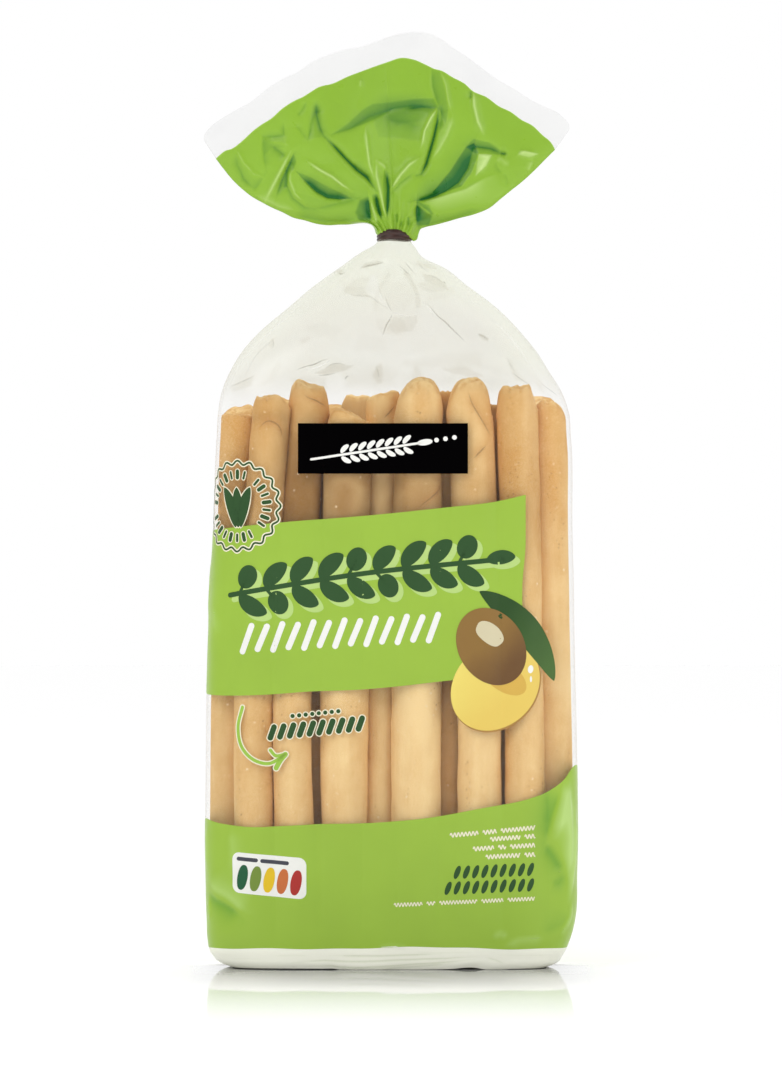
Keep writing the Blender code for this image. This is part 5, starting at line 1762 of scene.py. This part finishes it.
def make_world():
    """White behind the object, an even light from all round, and a dark room on the camera's
    side for what the film reflects."""
    world = bpy.data.worlds.new("soft_white")
    world.use_nodes = True
    tree = world.node_tree
    tree.nodes.clear()
    path = add(tree, "LightPath").outputs
    first = spread(tree, path["Diffuse Depth"], 0.4, 0.6, 1.0, 0.0)
    mirrored = maths(tree, "MULTIPLY", path["Is Glossy Ray"], first)
    bright = add(tree, "Background", {"Color": (1, 1, 1, 1), "Strength": 1.0})
    even = add(tree, "Background", {"Color": (1, 1, 1, 1), "Strength": WORLD_LIGHT})
    way = add(tree, "TexCoord").outputs["Generated"]
    behind = spread(tree, add(tree, "SeparateXYZ", {0: way}).outputs["Y"], -0.4, -0.05, WORLD_GLOSS, 1.0)
    dark = add(tree, "Background", {"Color": (1, 1, 1, 1), "Strength": behind})
    lit = add(tree, "MixShader", {0: mirrored, 1: even.outputs[0], 2: dark.outputs[0]})
    both = add(tree, "MixShader", {0: path["Is Camera Ray"], 1: lit.outputs[0], 2: bright.outputs[0]})
    add(tree, "OutputWorld", {"Surface": both.outputs[0]})
    bpy.context.scene.world = world


def make_camera():
    lens = bpy.data.cameras.new("camera")
    lens.sensor_width = SENSOR
    lens.lens = SENSOR * CAMERA_DISTANCE / VIEW_HEIGHT
    camera = bpy.data.objects.new("camera", lens)
    camera.location = (0.0, FACING_PLANE - CAMERA_DISTANCE, VIEW_MIDDLE)
    camera.rotation_euler = (np.pi / 2, 0.0, 0.0)
    bpy.context.scene.collection.objects.link(camera)
    bpy.context.scene.camera = camera


def make_stage():
    make_floor()
    make_light("key", (-0.9, -1.3, 1.1), 0.9, 7.2)
    make_light("fill", (1.1, -1.2, 0.7), 0.9, 4.6)
    make_sun()
    make_world()
    make_camera()
    bpy.context.scene.view_settings.view_transform = "Standard"


def main():
    film = make_film_grid()
    pane = ((0.928, 0.929, 0.896, 1.0), (0.960, 0.965, 0.920, 1.0))
    clear = film_material("clear_film", (rgb(242, 238, 228), rgb(238, 242, 220)), pane, 0.03, 0.25)
    pane = ((0.925, 0.925, 0.925, 1.0), (0.925, 0.925, 0.925, 1.0))
    margin = film_material("clear_margin", (rgb(244, 244, 244), rgb(244, 244, 244)), pane, 0.004, 0.05)
    inks = make_inks()
    make_film(film, clear)
    # Painted shade for the shoulder's crease lines and painted highlight for their ridges.
    shade = mark_material("film_crease", rgb(126, 118, 88), 0.75)
    light = mark_material("film_ridge", rgb(255, 255, 250), 0.8)
    make_marks(film, shade, light)
    make_base(film, clear)
    make_bands(film, inks)
    make_print(film, inks)
    make_fan(inks["fan"], margin)
    make_tie(tie_material())
    # The crust's creases get ribbons of painted shade.
    make_sticks(crust_material(), mark_material("crust_crease", rgb(168, 120, 68), 0.42))
    make_stage()


main()
